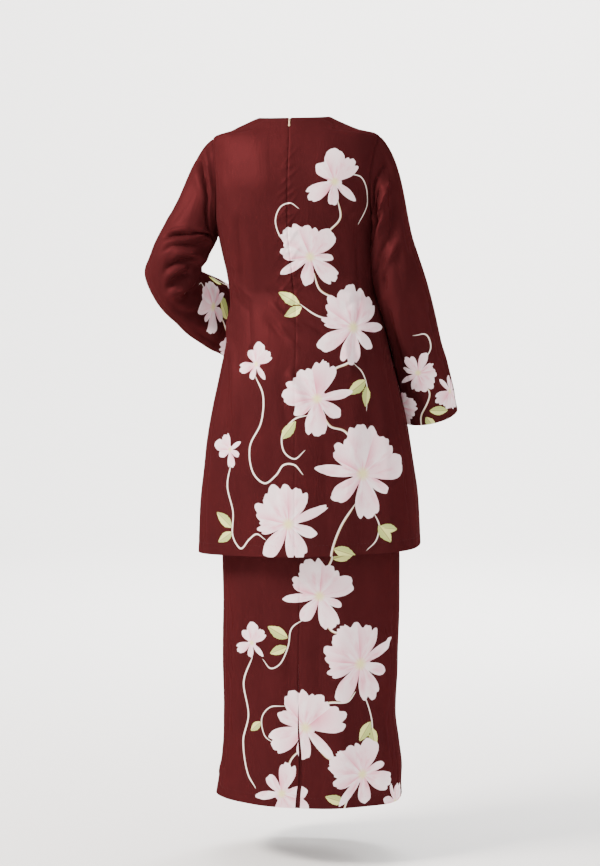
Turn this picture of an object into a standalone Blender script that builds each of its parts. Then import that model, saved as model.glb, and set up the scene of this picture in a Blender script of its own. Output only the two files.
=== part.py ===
"""Baju kurung, worn form with no wearer: a knee-length tunic with set-in sleeves over a long straight skirt.

Metres, +Z up. The front faces -Y, the wearer's left is +X. The origin is the middle of the shoulder line
at the neck, where the wearer's shoulders carry the tunic. Every panel is a closed wall of cloth with open
neck, cuffs and hems. The left arm is bent with the hand towards the front hip, the right arm hangs a
little forward.
"""

import math
from typing import NamedTuple

import bmesh
import bpy
import numpy as np
from mathutils import Matrix, Vector

# Cloth and seams
WALL = 0.0012
SEAM_GAP = 0.0003
TAPE_WALL = 0.0010
SLEEVE_CLEAR = 0.0030  # between a sleeve and the side of the tunic that it lies against

# Tunic landmarks, as heights above the origin
SHOULDER_TIP_Z = -0.041
UNDERARM_Z = -0.228
NECK_HALF_WIDTH = 0.072
BACK_NECK_DROP = 0.006
FRONT_NECK_DROP = 0.085
TUNIC_HEM_Z = -0.877
TUNIC_HEM_TILT = 0.030  # how much the hem rises for each metre towards the wearer's right
ARMHOLE_BACK_DEG = 27.0
ARMHOLE_FRONT_DEG = 29.0

# Skirt landmarks
WAISTBAND_TOP_Z = -0.326
WAISTBAND_HEIGHT = 0.032
SKIRT_TOP_Z = WAISTBAND_TOP_Z - WAISTBAND_HEIGHT - SEAM_GAP
SKIRT_HEM_Z = -1.384
VENT_TOP_Z = -1.175
VENT_OPENING = 0.010  # between the two vent edges at the hem
UNDERLAP_WIDTH = 0.052
UNDERLAP_DEPTH = 0.0016  # clear space between the panels and the underlap behind them

# Centre back zip
ZIP_LENGTH = 0.390
ZIP_TAPE_WIDTH = 0.012
ZIP_TOP_OPENING = 0.0032  # between the two backs at the neckline
ZIP_TOP_TAPER = 0.018
SLIDER_DOWN = 0.0075  # from the neckline to the slider's middle, along the seam

# Zip slider, in its own frame: across the seam, along it, and out of the cloth
SLIDER_BODY = (0.0070, 0.0090, 0.0024)
SLIDER_CLEAR = 0.0004  # from the cloth, and from the pull
SLIDER_NECK = (0.0009, 0.0030)
SADDLE = (0.0036, 0.0052, 0.0009)
ARCH_WIDTH = 0.0010
ARCH_LEG = 0.0009
ARCH_OPENING = (0.0022, 0.0018)
JOIN_OVERLAP = 0.0002  # how deep the slider's blocks reach into each other

# Zip pull
PULL_BAR = 0.0010
PULL_THICKNESS = 0.0009
PULL_WIDTH = 0.0042
PULL_LENGTH = 0.0165
PULL_WINDOW = 0.0034
PULL_ARM = 0.0008
PULL_NECK_SHARE = 0.8  # its narrowest place, as a share of its width at the hinge
PULL_TILT_DEG = 5.0
PULL_FOOT_STEPS = 6

# Edge strips of the panels, and the girth that crease angles are measured on
CENTRE_STRIP = 0.014
SKIRT_CENTRE_STRIP = 0.020
SLEEVE_GIRTH_RADIUS = 0.055
ARMHOLE_CALM = 0.05  # how far down a sleeve its creases and its clearance take to grow
TUNIC_SPLIT_Z = -0.440  # where the two lengths of a back panel meet, below the zip
SLEEVE_SPLIT = 0.240  # how far down the hanging sleeve its two lengths meet, just past the elbow

# How finely the solids are divided
TORSO_COLUMNS = 11
ARMHOLE_ROWS = 10
SHOULDER_ROWS = 3
TUNIC_SKIRT_ROWS = 17
SLEEVE_CAP_ROWS = 6
SLEEVE_ROW = 0.026
SKIRT_COLUMNS = 8
SKIRT_ROWS = 16
VENT_ROWS = 4
ROW_SAMPLES = 181


class Section(NamedTuple):
    """A level cut through a body tube: where its middle lies and how far it reaches."""

    height: float
    shift_x: float
    half_width: float
    front: float
    back: float
    squareness: float


class Flute(NamedTuple):
    """A hanging fold of a body tube, growing from its top down: an angle round the body, 90 at the back."""

    angle: float
    half_angle: float
    top: float
    bottom: float
    depth: float
    drift: float


class Ring(NamedTuple):
    """A cut across a sleeve: its distance down the arm, its reach each way, and the sag of its underside."""

    along: float
    outer: float
    inner: float
    back: float
    front: float
    sag: float


class Crease(NamedTuple):
    """A soft ridge on a sleeve, or a trough where the height is negative.

    Around is the angle from the arm's outer side, 90 degrees behind it.
    """

    along: float
    around: float
    half_length: float
    half_width: float
    height: float
    slant: float


class Arm(NamedTuple):
    """The line that a sleeve follows, from the armhole's middle past the elbow to the cuff."""

    shoulder: tuple
    elbow: tuple
    cuff: tuple
    bend_radius: float
    cap_length: float
    top_turn: tuple
    under_turn: tuple
    rings: tuple
    creases: tuple


TUNIC_SECTIONS = (
    Section(0.000, 0.004, NECK_HALF_WIDTH, 0.052, 0.048, 1.85),
    Section(-0.010, 0.006, 0.094, 0.059, 0.057, 1.85),
    Section(-0.018, 0.006, 0.112, 0.063, 0.063, 1.85),
    Section(-0.027, 0.004, 0.133, 0.067, 0.069, 1.90),
    Section(-0.035, 0.003, 0.164, 0.071, 0.074, 1.95),
    Section(-0.041, 0.002, 0.1710, 0.074, 0.078, 2.00),
    Section(-0.060, 0.001, 0.1740, 0.081, 0.088, 2.10),
    Section(-0.100, 0.000, 0.1755, 0.094, 0.102, 2.25),
    Section(-0.150, 0.000, 0.1730, 0.112, 0.111, 2.30),
    Section(-0.200, 0.000, 0.1680, 0.122, 0.111, 2.30),
    Section(-0.232, 0.000, 0.1620, 0.123, 0.108, 2.30),
    Section(-0.275, -0.001, 0.1545, 0.119, 0.102, 2.25),
    Section(-0.320, -0.002, 0.1455, 0.112, 0.096, 2.20),
    Section(-0.350, -0.004, 0.1430, 0.110, 0.095, 2.20),
    Section(-0.375, -0.009, 0.1465, 0.113, 0.101, 2.20),
    Section(-0.416, -0.015, 0.1560, 0.121, 0.115, 2.20),
    Section(-0.457, -0.019, 0.1640, 0.130, 0.129, 2.20),
    Section(-0.540, -0.022, 0.1835, 0.146, 0.148, 2.20),
    Section(-0.640, -0.024, 0.2040, 0.158, 0.161, 2.20),
    Section(-0.700, -0.025, 0.2120, 0.163, 0.166, 2.20),
    Section(-0.785, -0.026, 0.2215, 0.169, 0.172, 2.20),
    Section(-0.905, -0.027, 0.2265, 0.175, 0.178, 2.20),
)

TUNIC_FLUTES = (
    Flute(28, 15, -0.34, -0.905, 0.010, 4),
    Flute(58, 13, -0.40, -0.905, -0.006, 3),
    Flute(92, 16, -0.38, -0.905, 0.006, -3),
    Flute(124, 13, -0.42, -0.905, -0.007, -4),
    Flute(152, 14, -0.36, -0.905, 0.009, -3),
    Flute(205, 15, -0.38, -0.905, 0.009, 4),
    Flute(238, 13, -0.44, -0.905, -0.007, 3),
    Flute(272, 16, -0.40, -0.905, 0.008, 0),
    Flute(304, 13, -0.42, -0.905, -0.006, -4),
    Flute(334, 14, -0.36, -0.905, 0.010, -3),
)

SKIRT_SECTIONS = (
    Section(-0.320, -0.006, 0.1240, 0.090, 0.081, 2.15),
    Section(-0.358, -0.009, 0.1260, 0.091, 0.082, 2.15),
    Section(-0.416, -0.015, 0.1390, 0.100, 0.098, 2.15),
    Section(-0.480, -0.020, 0.1530, 0.110, 0.113, 2.15),
    Section(-0.560, -0.022, 0.1660, 0.120, 0.127, 2.20),
    Section(-0.640, -0.025, 0.1740, 0.126, 0.134, 2.25),
    Section(-0.760, -0.027, 0.1795, 0.131, 0.138, 2.30),
    Section(-0.900, -0.029, 0.1820, 0.134, 0.140, 2.30),
    Section(-0.990, -0.030, 0.1815, 0.135, 0.141, 2.30),
    Section(-1.113, -0.028, 0.1800, 0.138, 0.142, 2.30),
    Section(-1.216, -0.028, 0.1760, 0.140, 0.143, 2.30),
    Section(-1.277, -0.032, 0.1800, 0.141, 0.145, 2.30),
    Section(-1.318, -0.033, 0.1845, 0.143, 0.147, 2.30),
    Section(-1.359, -0.029, 0.1875, 0.144, 0.149, 2.30),
    Section(-1.390, -0.027, 0.1905, 0.146, 0.150, 2.30),
)

SKIRT_FLUTES = (
    Flute(20, 16, -0.95, -1.390, 0.005, 3),
    Flute(52, 14, -0.90, -1.390, -0.005, -2),
    Flute(128, 14, -1.00, -1.390, -0.006, 3),
    Flute(158, 14, -0.95, -1.390, 0.007, -2),
    Flute(212, 15, -0.95, -1.390, -0.005, 2),
    Flute(250, 18, -0.90, -1.390, 0.006, 0),
    Flute(296, 18, -0.92, -1.390, 0.006, 0),
    Flute(330, 14, -0.95, -1.390, -0.005, -2),
)

LEFT_ARM = Arm(
    shoulder=(0.160, 0.000, -0.135),
    elbow=(0.272, 0.024, -0.322),
    cuff=(0.145, -0.178, -0.398),
    bend_radius=0.055,
    cap_length=0.112,
    top_turn=(0.84, 0.00, -0.54),
    under_turn=(0.62, 0.00, -0.78),
    rings=(
        Ring(0.112, 0.0540, 0.0560, 0.057, 0.053, 0.000),
        Ring(0.155, 0.0540, 0.0580, 0.057, 0.047, 0.003),
        Ring(0.190, 0.0570, 0.0560, 0.062, 0.043, 0.010),
        Ring(0.225, 0.0600, 0.0500, 0.066, 0.041, 0.020),
        Ring(0.270, 0.0530, 0.0450, 0.062, 0.040, 0.032),
        Ring(0.330, 0.0470, 0.0430, 0.062, 0.040, 0.046),
        Ring(0.400, 0.0440, 0.0430, 0.062, 0.040, 0.052),
    ),
    creases=(
        Crease(0.150, 262, 0.055, 0.012, -0.007, 12),
        Crease(0.128, 120, 0.050, 0.013, -0.006, -8),
        Crease(0.152, 128, 0.050, 0.011, 0.005, -10),
        Crease(0.176, 140, 0.055, 0.012, -0.006, -14),
        Crease(0.206, 150, 0.050, 0.011, 0.005, -18),
        Crease(0.238, 215, 0.050, 0.012, -0.006, 10),
        Crease(0.270, 165, 0.055, 0.014, -0.005, -20),
        Crease(0.320, 130, 0.060, 0.018, 0.005, -30),
    ),
)

RIGHT_ARM = Arm(
    shoulder=(0.160, 0.000, -0.135),
    elbow=(0.2190, -0.004, -0.345),
    cuff=(0.2600, -0.106, -0.607),
    bend_radius=0.120,
    cap_length=0.130,
    top_turn=(0.74, 0.00, -0.67),
    under_turn=(0.30, 0.00, -0.95),
    rings=(
        Ring(0.130, 0.0440, 0.0540, 0.061, 0.060, 0.000),
        Ring(0.200, 0.0480, 0.0600, 0.060, 0.058, 0.000),
        Ring(0.280, 0.0520, 0.0600, 0.058, 0.056, 0.000),
        Ring(0.360, 0.0540, 0.0560, 0.056, 0.055, 0.000),
        Ring(0.430, 0.0570, 0.0580, 0.054, 0.054, 0.000),
        Ring(0.500, 0.0600, 0.0600, 0.054, 0.054, 0.000),
    ),
    creases=(
        Crease(0.070, 118, 0.060, 0.012, -0.008, 62),
        Crease(0.066, 92, 0.060, 0.012, 0.006, 66),
        Crease(0.090, 60, 0.060, 0.014, -0.005, 74),
        Crease(0.190, 125, 0.050, 0.016, -0.005, 40),
        Crease(0.240, 70, 0.070, 0.016, -0.004, 76),
        Crease(0.230, 250, 0.050, 0.014, -0.006, -20),
        Crease(0.330, 100, 0.070, 0.018, 0.005, 80),
        Crease(0.400, 40, 0.060, 0.018, -0.005, 82),
        Crease(0.410, 140, 0.060, 0.018, -0.005, 84),
    ),
)


def through(xs, ys):
    """A smooth curve through the points that never overshoots them (monotone cubic)."""
    order = np.argsort(xs)
    x, y = np.asarray(xs, float)[order], np.asarray(ys, float)[order]
    step = np.diff(x)
    rise = np.diff(y) / step
    slope = np.empty_like(y)
    slope[0], slope[-1] = rise[0], rise[-1]
    before, after = rise[:-1], rise[1:]
    same_way = before * after > 0
    heavy, light = 2 * step[1:] + step[:-1], step[1:] + 2 * step[:-1]
    with np.errstate(divide="ignore", invalid="ignore"):
        mean = (heavy + light) / (heavy / before + light / after)
    slope[1:-1] = np.where(same_way, mean, 0.0)

    def curve(at):
        at = np.clip(np.asarray(at, float), x[0], x[-1])
        i = np.clip(np.searchsorted(x, at) - 1, 0, len(x) - 2)
        h = step[i]
        t = (at - x[i]) / h
        return (
            y[i] * (1 + 2 * t) * (1 - t) ** 2
            + slope[i] * h * t * (1 - t) ** 2
            + y[i + 1] * t * t * (3 - 2 * t)
            + slope[i + 1] * h * t * t * (t - 1)
        )

    return curve


def smoothstep(t):
    t = np.clip(t, 0, 1)
    return t * t * (3 - 2 * t)


def unit(v):
    v = np.asarray(v, float)
    return v / np.linalg.norm(v, axis=-1, keepdims=True)


class Tube:
    """A body tube given by level sections, such as the tunic or the skirt, with its hanging flutes."""

    def __init__(self, sections, flutes):
        height = [s.height for s in sections]
        self.shift = through(height, [s.shift_x for s in sections])
        self.width = through(height, [s.half_width for s in sections])
        self.front = through(height, [s.front for s in sections])
        self.back = through(height, [s.back for s in sections])
        self.power = through(height, [s.squareness for s in sections])
        self.flutes = flutes

    def depth(self, z, side):
        """How far the front (side -1) or the back (side +1) reaches from the middle."""
        return np.where(np.asarray(side) > 0, self.back(z), self.front(z))

    def point(self, x, z, side):
        """The point of the front (side -1) or back (side +1) at x from the section's middle."""
        power = self.power(z)
        share = np.clip(np.abs(x) / self.width(z), 0, 1)
        y = side * self.depth(z, side) * (1 - share**power) ** (1 / power)
        return np.stack([x + self.shift(z), y, np.broadcast_to(z, np.shape(x))], axis=-1)

    def inside(self, p, side, clear=0.0):
        """Below 1 inside the tube, widened by a clearance, and above 1 outside it."""
        x, y, z = p[..., 0] - self.shift(p[..., 2]), p[..., 1], p[..., 2]
        power = self.power(z)
        across = (np.abs(x) / (self.width(z) + clear)) ** power
        return across + (np.abs(y) / (self.depth(z, side) + clear)) ** power

    def held_off(self, p, clear):
        """The points, with those closer to the tube than the clearance moved straight out from its middle."""
        side = np.sign(p[..., 1])
        share = self.inside(p, side, clear + self.fold(p, side))
        grown = np.maximum(share, 1e-6) ** (-1 / self.power(p[..., 2]))
        middle = np.stack([self.shift(p[..., 2]), np.zeros(share.shape), p[..., 2]], axis=-1)
        return np.where((share < 1)[..., None], middle + (p - middle) * grown[..., None], p)

    def normal(self, p, side):
        """The outward direction at points of the tube, the same on both sides of a side seam."""
        step = 1e-5
        change = [self.inside(p + a, side) - self.inside(p - a, side) for a in np.eye(3) * step]
        return unit(np.stack(change, axis=-1))

    def fold(self, p, side):
        """How far the flutes lift the cloth at these points."""
        z = p[..., 2]
        x = (p[..., 0] - self.shift(z)) / self.width(z)
        y = p[..., 1] / self.depth(z, side)
        angle = np.degrees(np.arctan2(y, x))
        lift = np.zeros(angle.shape)
        for f in self.flutes:
            down = (f.top - z) / (f.top - f.bottom)
            away = (angle - f.angle - f.drift * down + 180) % 360 - 180
            lift += f.depth * smoothstep(down) * np.exp(-((away / f.half_angle) ** 2))
        return lift


TUNIC = Tube(TUNIC_SECTIONS, TUNIC_FLUTES)
SKIRT = Tube(SKIRT_SECTIONS, SKIRT_FLUTES)


def spread_along(curve, shares):
    """The points at those shares of a curve's length."""
    length = np.concatenate([[0], np.cumsum(np.linalg.norm(np.diff(curve, axis=0), axis=1))])
    at = np.asarray(shares) * length[-1]
    return np.stack([np.interp(at, length, curve[:, k]) for k in range(3)], axis=1)


def column_shares(columns, length, last_column):
    """Even shares of a row's length, but for a last column of a fixed width."""
    last = last_column / length
    return np.concatenate([np.linspace(0, 1 - last, columns), [1.0]])


def armhole_turns():
    """The angles of the armhole's points, from its top (0) to the underarm (pi)."""
    return np.linspace(0, math.pi, ARMHOLE_ROWS + 1)


def armhole_edge(turn, side):
    """(x, z) of the armhole's edge on the front or back, for the wearer's left."""
    reach = ARMHOLE_BACK_DEG if side > 0 else ARMHOLE_FRONT_DEG
    middle, half = (SHOULDER_TIP_Z + UNDERARM_Z) / 2, (SHOULDER_TIP_Z - UNDERARM_Z) / 2
    z = middle + half * np.cos(turn)
    angle = np.radians(reach) * np.sin(turn)
    return TUNIC.width(z) * np.cos(angle) ** (2 / TUNIC.power(z)), z


def side_edge(side):
    """(x, z, share) of a tunic panel's outer edge, row by row: side seam, armhole, then shoulder seam."""
    rows = [(TUNIC.width(z), z) for z in np.linspace(TUNIC_HEM_Z, UNDERARM_Z, TUNIC_SKIRT_ROWS + 1)]
    rows += [armhole_edge(turn, side) for turn in armhole_turns()[::-1][1:]]
    heights = SHOULDER_TIP_Z * (1 - np.linspace(0, 1, SHOULDER_ROWS + 1)[1:])
    rows += [(TUNIC.width(z), z) for z in heights]
    return np.array(rows, float)


def half_gap(z):
    """Half the space between the two back panels: a plain seam that parts above the zip's slider."""
    opening = np.clip(1 + (z + BACK_NECK_DROP) / ZIP_TOP_TAPER, 0, 1)
    return (SEAM_GAP + (ZIP_TOP_OPENING - SEAM_GAP) * opening) / 2


def tunic_rows(side):
    """The rows of a half panel's outer face, each a curve from its outer edge to the middle of the body."""
    edge = side_edge(side)
    drop = BACK_NECK_DROP if side > 0 else FRONT_NECK_DROP
    first = TUNIC_SKIRT_ROWS
    upper = edge[first:]
    step = np.linalg.norm(np.diff(TUNIC.point(*upper.T, side), axis=0), axis=1)
    share = np.concatenate([[0], np.cumsum(step)]) / step.sum()
    turn = np.linspace(0, math.pi / 2, ROW_SAMPLES)
    rows = []
    for i, (edge_x, edge_z) in enumerate(edge):
        up = share[i - first] if i > first else 0.0
        middle_z = UNDERARM_Z + (-drop - UNDERARM_Z) * up if i > first else edge_z
        inner = half_gap(middle_z) if side > 0 else SEAM_GAP / 2
        round_neck = up**4
        dip = (1 - round_neck) * np.sin(turn) ** 2 + round_neck * np.sin(turn)
        x = inner + (edge_x - inner) * np.cos(turn)
        z = edge_z + (middle_z - edge_z) * dip
        rows.append(TUNIC.point(x, z, side))
    return rows


def hem_tilted(points, tube_top, hem, tilt):
    """Slopes the hem and the rows above it, less and less up to the top."""
    z = points[..., 2]
    share = np.clip((tube_top - z) / (tube_top - hem), 0, 1) ** 2
    points[..., 2] = z - tilt * points[..., 0] * share
    return points


def tunic_half(side, hand):
    """(outer points, normals) of half the front or back, on the wearer's left (hand 1) or right (-1)."""
    last = ZIP_TAPE_WIDTH if side > 0 else CENTRE_STRIP
    rows = []
    for curve in tunic_rows(side):
        length = np.linalg.norm(np.diff(curve, axis=0), axis=1).sum()
        rows.append(spread_along(curve, column_shares(TORSO_COLUMNS, length, last)))
    points = np.array(rows)
    middle = TUNIC.shift(points[..., 2])
    points[..., 0] = middle + hand * (points[..., 0] - middle)
    normals = TUNIC.normal(points, side)
    points = points + TUNIC.fold(points, side)[..., None] * normals
    seam_rows = list(range(TUNIC_SKIRT_ROWS + 1)) + list(range(len(rows) - SHOULDER_ROWS - 1, len(rows)))
    points[seam_rows, 0, 1] += side * SEAM_GAP / 2
    return hem_tilted(points, UNDERARM_Z, TUNIC_HEM_Z, TUNIC_HEM_TILT), normals


def triangles_between(grid, flipped, closed):
    """Two triangles for each cell of a grid numbered row by row, split along the shorter diagonal."""
    rows, columns = grid.shape[:2]
    points = grid.reshape(-1, 3)
    faces = []
    across = columns if closed else columns - 1
    for r in range(rows - 1):
        for c in range(across):
            a, b = r * columns + c, r * columns + (c + 1) % columns
            d, e = a + columns, b + columns
            rising = np.linalg.norm(points[a] - points[e]) <= np.linalg.norm(points[b] - points[d])
            pair = [(a, b, e), (a, e, d)] if rising else [(a, b, d), (b, e, d)]
            faces += [t[::-1] for t in pair] if flipped else pair
    return faces


def wall(name, outer, inner, closed, material):
    """A closed solid between an outer and an inner grid of points.

    A closed grid runs on from its last column to its first.
    """
    rows, columns = outer.shape[:2]
    count = rows * columns
    across, up = outer[0, 1] - outer[0, 0], outer[1, 0] - outer[0, 0]
    flipped = bool(np.dot(np.cross(across, up), outer[0, 0] - inner[0, 0]) < 0)
    faces = triangles_between(outer, flipped, closed)
    faces += [tuple(count + i for i in t[::-1]) for t in faces]
    rims = []
    row = list(range(columns)) + ([0] if closed else [])
    rims.append(row)
    rims.append([(rows - 1) * columns + i for i in row][::-1])
    if not closed:
        rims.append([r * columns for r in range(rows)][::-1])
        rims.append([r * columns + columns - 1 for r in range(rows)])
    for rim in rims:
        for i, j in zip(rim, rim[1:]):
            pair = [(j, i, count + i), (j, count + i, count + j)]
            faces += [t[::-1] for t in pair] if flipped else pair
    mesh = bpy.data.meshes.new(name)
    mesh.from_pydata(np.concatenate([outer.reshape(-1, 3), inner.reshape(-1, 3)]).tolist(), [], faces)
    return placed(name, mesh, material)


def placed(name, mesh, material):
    mesh.materials.append(material)
    mesh.shade_smooth()
    mesh.set_sharp_from_angle(angle=math.radians(45))
    obj = bpy.data.objects.new(name, mesh)
    bpy.context.scene.collection.objects.link(obj)
    return obj


def cloth(name, outer, normals, material, closed=False, thickness=WALL):
    """A cloth wall with its given outer face, thickened inwards."""
    return wall(name, outer, outer - thickness * normals, closed, material)


def cloth_lengths(ends, outer, normals, material, closed=False):
    """Cloth in lengths that lie edge to edge: {name: the row where it ends}, from the first row on."""
    first = 0
    for name, last in ends.items():
        length = outer[first : last + 1].copy()
        if first:
            length[0] += SEAM_GAP * unit(length[1] - length[0])
        cloth(name, length, normals[first : last + 1], material, closed)
        first = last


def make_tunic(material):
    """The two back panels, each in two lengths, and the front in two halves that lie edge to edge."""
    backs = {}
    for name, hand in (("left", 1), ("right", -1)):
        points, normals = tunic_half(1, hand)
        backs[name] = (points, normals)
        waist = int(np.searchsorted(points[:, 0, 2], TUNIC_SPLIT_Z))
        ends = {f"tunic_back_{name}_lower": waist, f"tunic_back_{name}_upper": len(points) - 1}
        cloth_lengths(ends, points, normals, material)
        cloth(f"tunic_front_{name}", *tunic_half(-1, hand), material)
    return backs


class ArmLine:
    """A sleeve's middle line: upper arm, a rounded elbow and forearm, with a frame that doesn't twist."""

    def __init__(self, arm, hand):
        turn = np.array([hand, 1, 1])
        shoulder, elbow, cuff = (np.array(p) * turn for p in (arm.shoulder, arm.elbow, arm.cuff))
        upper, lower = unit(elbow - shoulder), unit(cuff - elbow)
        bend = math.acos(float(np.clip(upper @ lower, -1, 1)))
        cut = arm.bend_radius * math.tan(bend / 2)
        self.axis = unit(np.cross(upper, lower))
        self.start, self.upper, self.bend, self.radius = shoulder, upper, bend, arm.bend_radius
        self.straight = np.linalg.norm(elbow - shoulder) - cut
        self.arc = arm.bend_radius * bend
        self.length = self.straight + self.arc + np.linalg.norm(cuff - elbow) - cut
        outward = np.array([hand, 0, 0])
        self.side = unit(outward - (outward @ upper) * upper)
        self.back = np.cross(upper, self.side) * -hand

    def turned(self, v, angle):
        """v turned about the elbow's axis."""
        cos, sin = np.cos(angle)[:, None], np.sin(angle)[:, None]
        along = (v @ self.axis) * self.axis
        return (v - along) * cos + np.cross(self.axis, v) * sin + along

    def frame(self, along):
        """(middle, direction, side, back) at distances down the arm."""
        along = np.asarray(along, float)
        angle = np.clip((along - self.straight) / self.radius, 0, self.bend)
        direction = self.turned(self.upper, angle)
        centre = self.start + self.upper * self.straight + np.cross(self.axis, self.upper) * self.radius
        bent = centre + self.turned(-np.cross(self.axis, self.upper) * self.radius, angle)
        before = np.minimum(along - self.straight, 0)[:, None] * self.upper
        after = np.maximum(along - self.straight - self.arc, 0)[:, None] * direction
        return bent + before + after, direction, self.turned(self.side, angle), self.turned(self.back, angle)


def armhole_ring(hand):
    """(points, normals) round the armhole, from its top, down the back, under the arm and up the front."""
    turns = armhole_turns()
    back_x, back_z = armhole_edge(turns, 1)
    front_x, front_z = armhole_edge(turns[::-1][1:-1], -1)
    back, front = TUNIC.point(back_x, back_z, 1), TUNIC.point(front_x, front_z, -1)
    points = np.concatenate([back, front])
    normals = np.concatenate([TUNIC.normal(back, 1), TUNIC.normal(front, -1)])
    middle = TUNIC.shift(points[:, 2])
    points[:, 0] = middle + hand * (points[:, 0] - middle)
    return points, normals * np.array([hand, 1, 1])


def ring_columns(arm):
    """The sleeve table as (distances, values) for each kind of reach."""
    along = [r.along for r in arm.rings]
    return [(along, list(values)) for values in zip(*(r[1:] for r in arm.rings))]


def sleeve_grid(arm, hand):
    """The outer points of a sleeve, ring by ring, before its creases."""
    line = ArmLine(arm, hand)
    start, start_normals = armhole_ring(hand)
    turns = np.concatenate([armhole_turns(), math.pi + armhole_turns()[1:-1]])
    rows = 1 + math.ceil((line.length - arm.cap_length) / SLEEVE_ROW)
    along = np.linspace(arm.cap_length, line.length, rows)
    table = [through(column, arm_column)(along)[:, None] for column, arm_column in ring_columns(arm)]
    outer_reach, inner_reach, back_reach, front_reach, sag = table
    middle, direction, side, back = line.frame(along)
    cos, sin = np.cos(turns), np.sin(turns)
    width = np.where(cos > 0, outer_reach, inner_reach) * cos
    depth = np.where(sin > 0, back_reach, front_reach) * sin
    spokes = width[..., None] * side[:, None, :] + depth[..., None] * back[:, None, :]
    facing_down = np.clip(-unit(spokes)[..., 2], 0, 1)
    rings = middle[:, None, :] + spokes
    rings[..., 2] -= sag * facing_down
    first = start + np.array([hand * SEAM_GAP, 0, 0])
    chord = np.linalg.norm(rings[0] - first, axis=1)[:, None]
    under = ((1 - cos) / 2)[:, None]
    mirror = np.array([hand, 1, 1])
    leave = unit((1 - under) * np.array(arm.top_turn) * mirror + under * np.array(arm.under_turn) * mirror)
    cap = []
    for t in np.linspace(0, 1, SLEEVE_CAP_ROWS + 1)[:-1]:
        cap.append(
            (1 + 2 * t) * (1 - t) ** 2 * first
            + t * (1 - t) ** 2 * leave * chord * 0.9
            + t * t * (3 - 2 * t) * rings[0]
            + t * t * (t - 1) * direction[0] * chord * 1.0
        )
    points = np.concatenate([np.array(cap), rings])
    distance = np.concatenate([np.linspace(0, arm.cap_length, SLEEVE_CAP_ROWS + 1)[:-1], along])
    return points, distance, turns, start_normals


def grid_normals(points, hand):
    """Outward directions of a closed grid, from its neighbours."""
    around = np.roll(points, -1, axis=1) - np.roll(points, 1, axis=1)
    down = np.empty_like(points)
    down[1:-1] = points[2:] - points[:-2]
    down[0], down[-1] = points[1] - points[0], points[-1] - points[-2]
    return unit(np.cross(around, down)) * -hand


def crease_height(arm, distance, turns):
    """How far the creases lift a sleeve's cloth."""
    lift = np.zeros((len(distance), len(turns)))
    for c in arm.creases:
        around = (np.degrees(turns) - c.around + 180) % 360 - 180
        across = np.radians(around)[None, :] * SLEEVE_GIRTH_RADIUS
        along = (distance - c.along)[:, None]
        slant = math.radians(c.slant)
        u = across * math.cos(slant) + along * math.sin(slant)
        v = -across * math.sin(slant) + along * math.cos(slant)
        lift += c.height * np.exp(-((u / c.half_length) ** 2) - (v / c.half_width) ** 2)
    return lift * smoothstep(distance / ARMHOLE_CALM)[:, None]


def make_sleeve(lengths, arm, hand, material):
    """A sleeve in one or more lengths, edge to edge: {name: distance down the arm to its end}."""
    points, distance, turns, start_normals = sleeve_grid(arm, hand)
    normals = grid_normals(points, hand)
    smooth_run = np.clip((normals[0] * start_normals).sum(axis=1), 0, 1)[:, None]
    normals[0] = unit(normals[0] * (1 - smooth_run) + start_normals * smooth_run)
    outer = points + crease_height(arm, distance, turns)[..., None] * normals
    clear = SEAM_GAP + (SLEEVE_CLEAR - SEAM_GAP) * smoothstep(distance / ARMHOLE_CALM)[1:, None]
    outer[1:] = TUNIC.held_off(outer[1:], clear)
    ends = {name: int(np.searchsorted(distance[:-1], end)) for name, end in lengths.items()}
    cloth_lengths(ends, outer, normals, material, closed=True)


def make_zip_tapes(backs, material):
    """The zip's two tapes, inside the back panels along the centre seam."""
    for name, (points, normals) in backs.items():
        middle = points[:, -1, 2]
        rows = np.flatnonzero(middle > -BACK_NECK_DROP - ZIP_LENGTH)
        part, way = points[rows][:, -2:], normals[rows][:, -2:]
        outer = part - (WALL + SEAM_GAP) * way
        cloth(f"zip_tape_{name}", outer, way, material, thickness=TAPE_WALL)


def box(bm, size, middle):
    """A block in a bmesh."""
    matrix = Matrix.Translation(middle) @ Matrix.Diagonal((*size, 1))
    bmesh.ops.create_cube(bm, size=1, matrix=matrix)


def union(name, blocks, material):
    """One solid from overlapping blocks, each (size, middle), by exact Booleans."""
    made = []
    for i, (size, middle) in enumerate(blocks):
        bm = bmesh.new()
        box(bm, size, middle)
        mesh = bpy.data.meshes.new(f"{name}_{i}")
        bm.to_mesh(mesh)
        bm.free()
        made.append(placed(name if i == 0 else f"{name}_block_{i}", mesh, material))
    body = made[0]
    for other in made[1:]:
        other.hide_render = True
        other.display_type = "WIRE"
        join = body.modifiers.new("Join", "BOOLEAN")
        join.operation, join.object, join.solver = "UNION", other, "EXACT"
    return body, made[1:]


def slider_frame(backs):
    """The zip slider's frame, from the back panels' points: X across, Y up the seam, Z out of the cloth."""
    edges = [points[:, -1] for points, _ in backs.values()]
    top, below = (Vector((edges[0][row] + edges[1][row]) / 2) for row in (-1, -2))
    up = (top - below).normalized()
    across = Vector((-1, 0, 0))
    out = across.cross(up).normalized()
    across = up.cross(out)
    matrix = Matrix((across, up, out)).transposed().to_4x4()
    matrix.translation = top - SLIDER_DOWN * up
    return matrix


def hinge_height():
    """How far the pull's hinge line stands out of the cloth."""
    return SLIDER_CLEAR + SADDLE[2] + ARCH_OPENING[1] / 2


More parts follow.
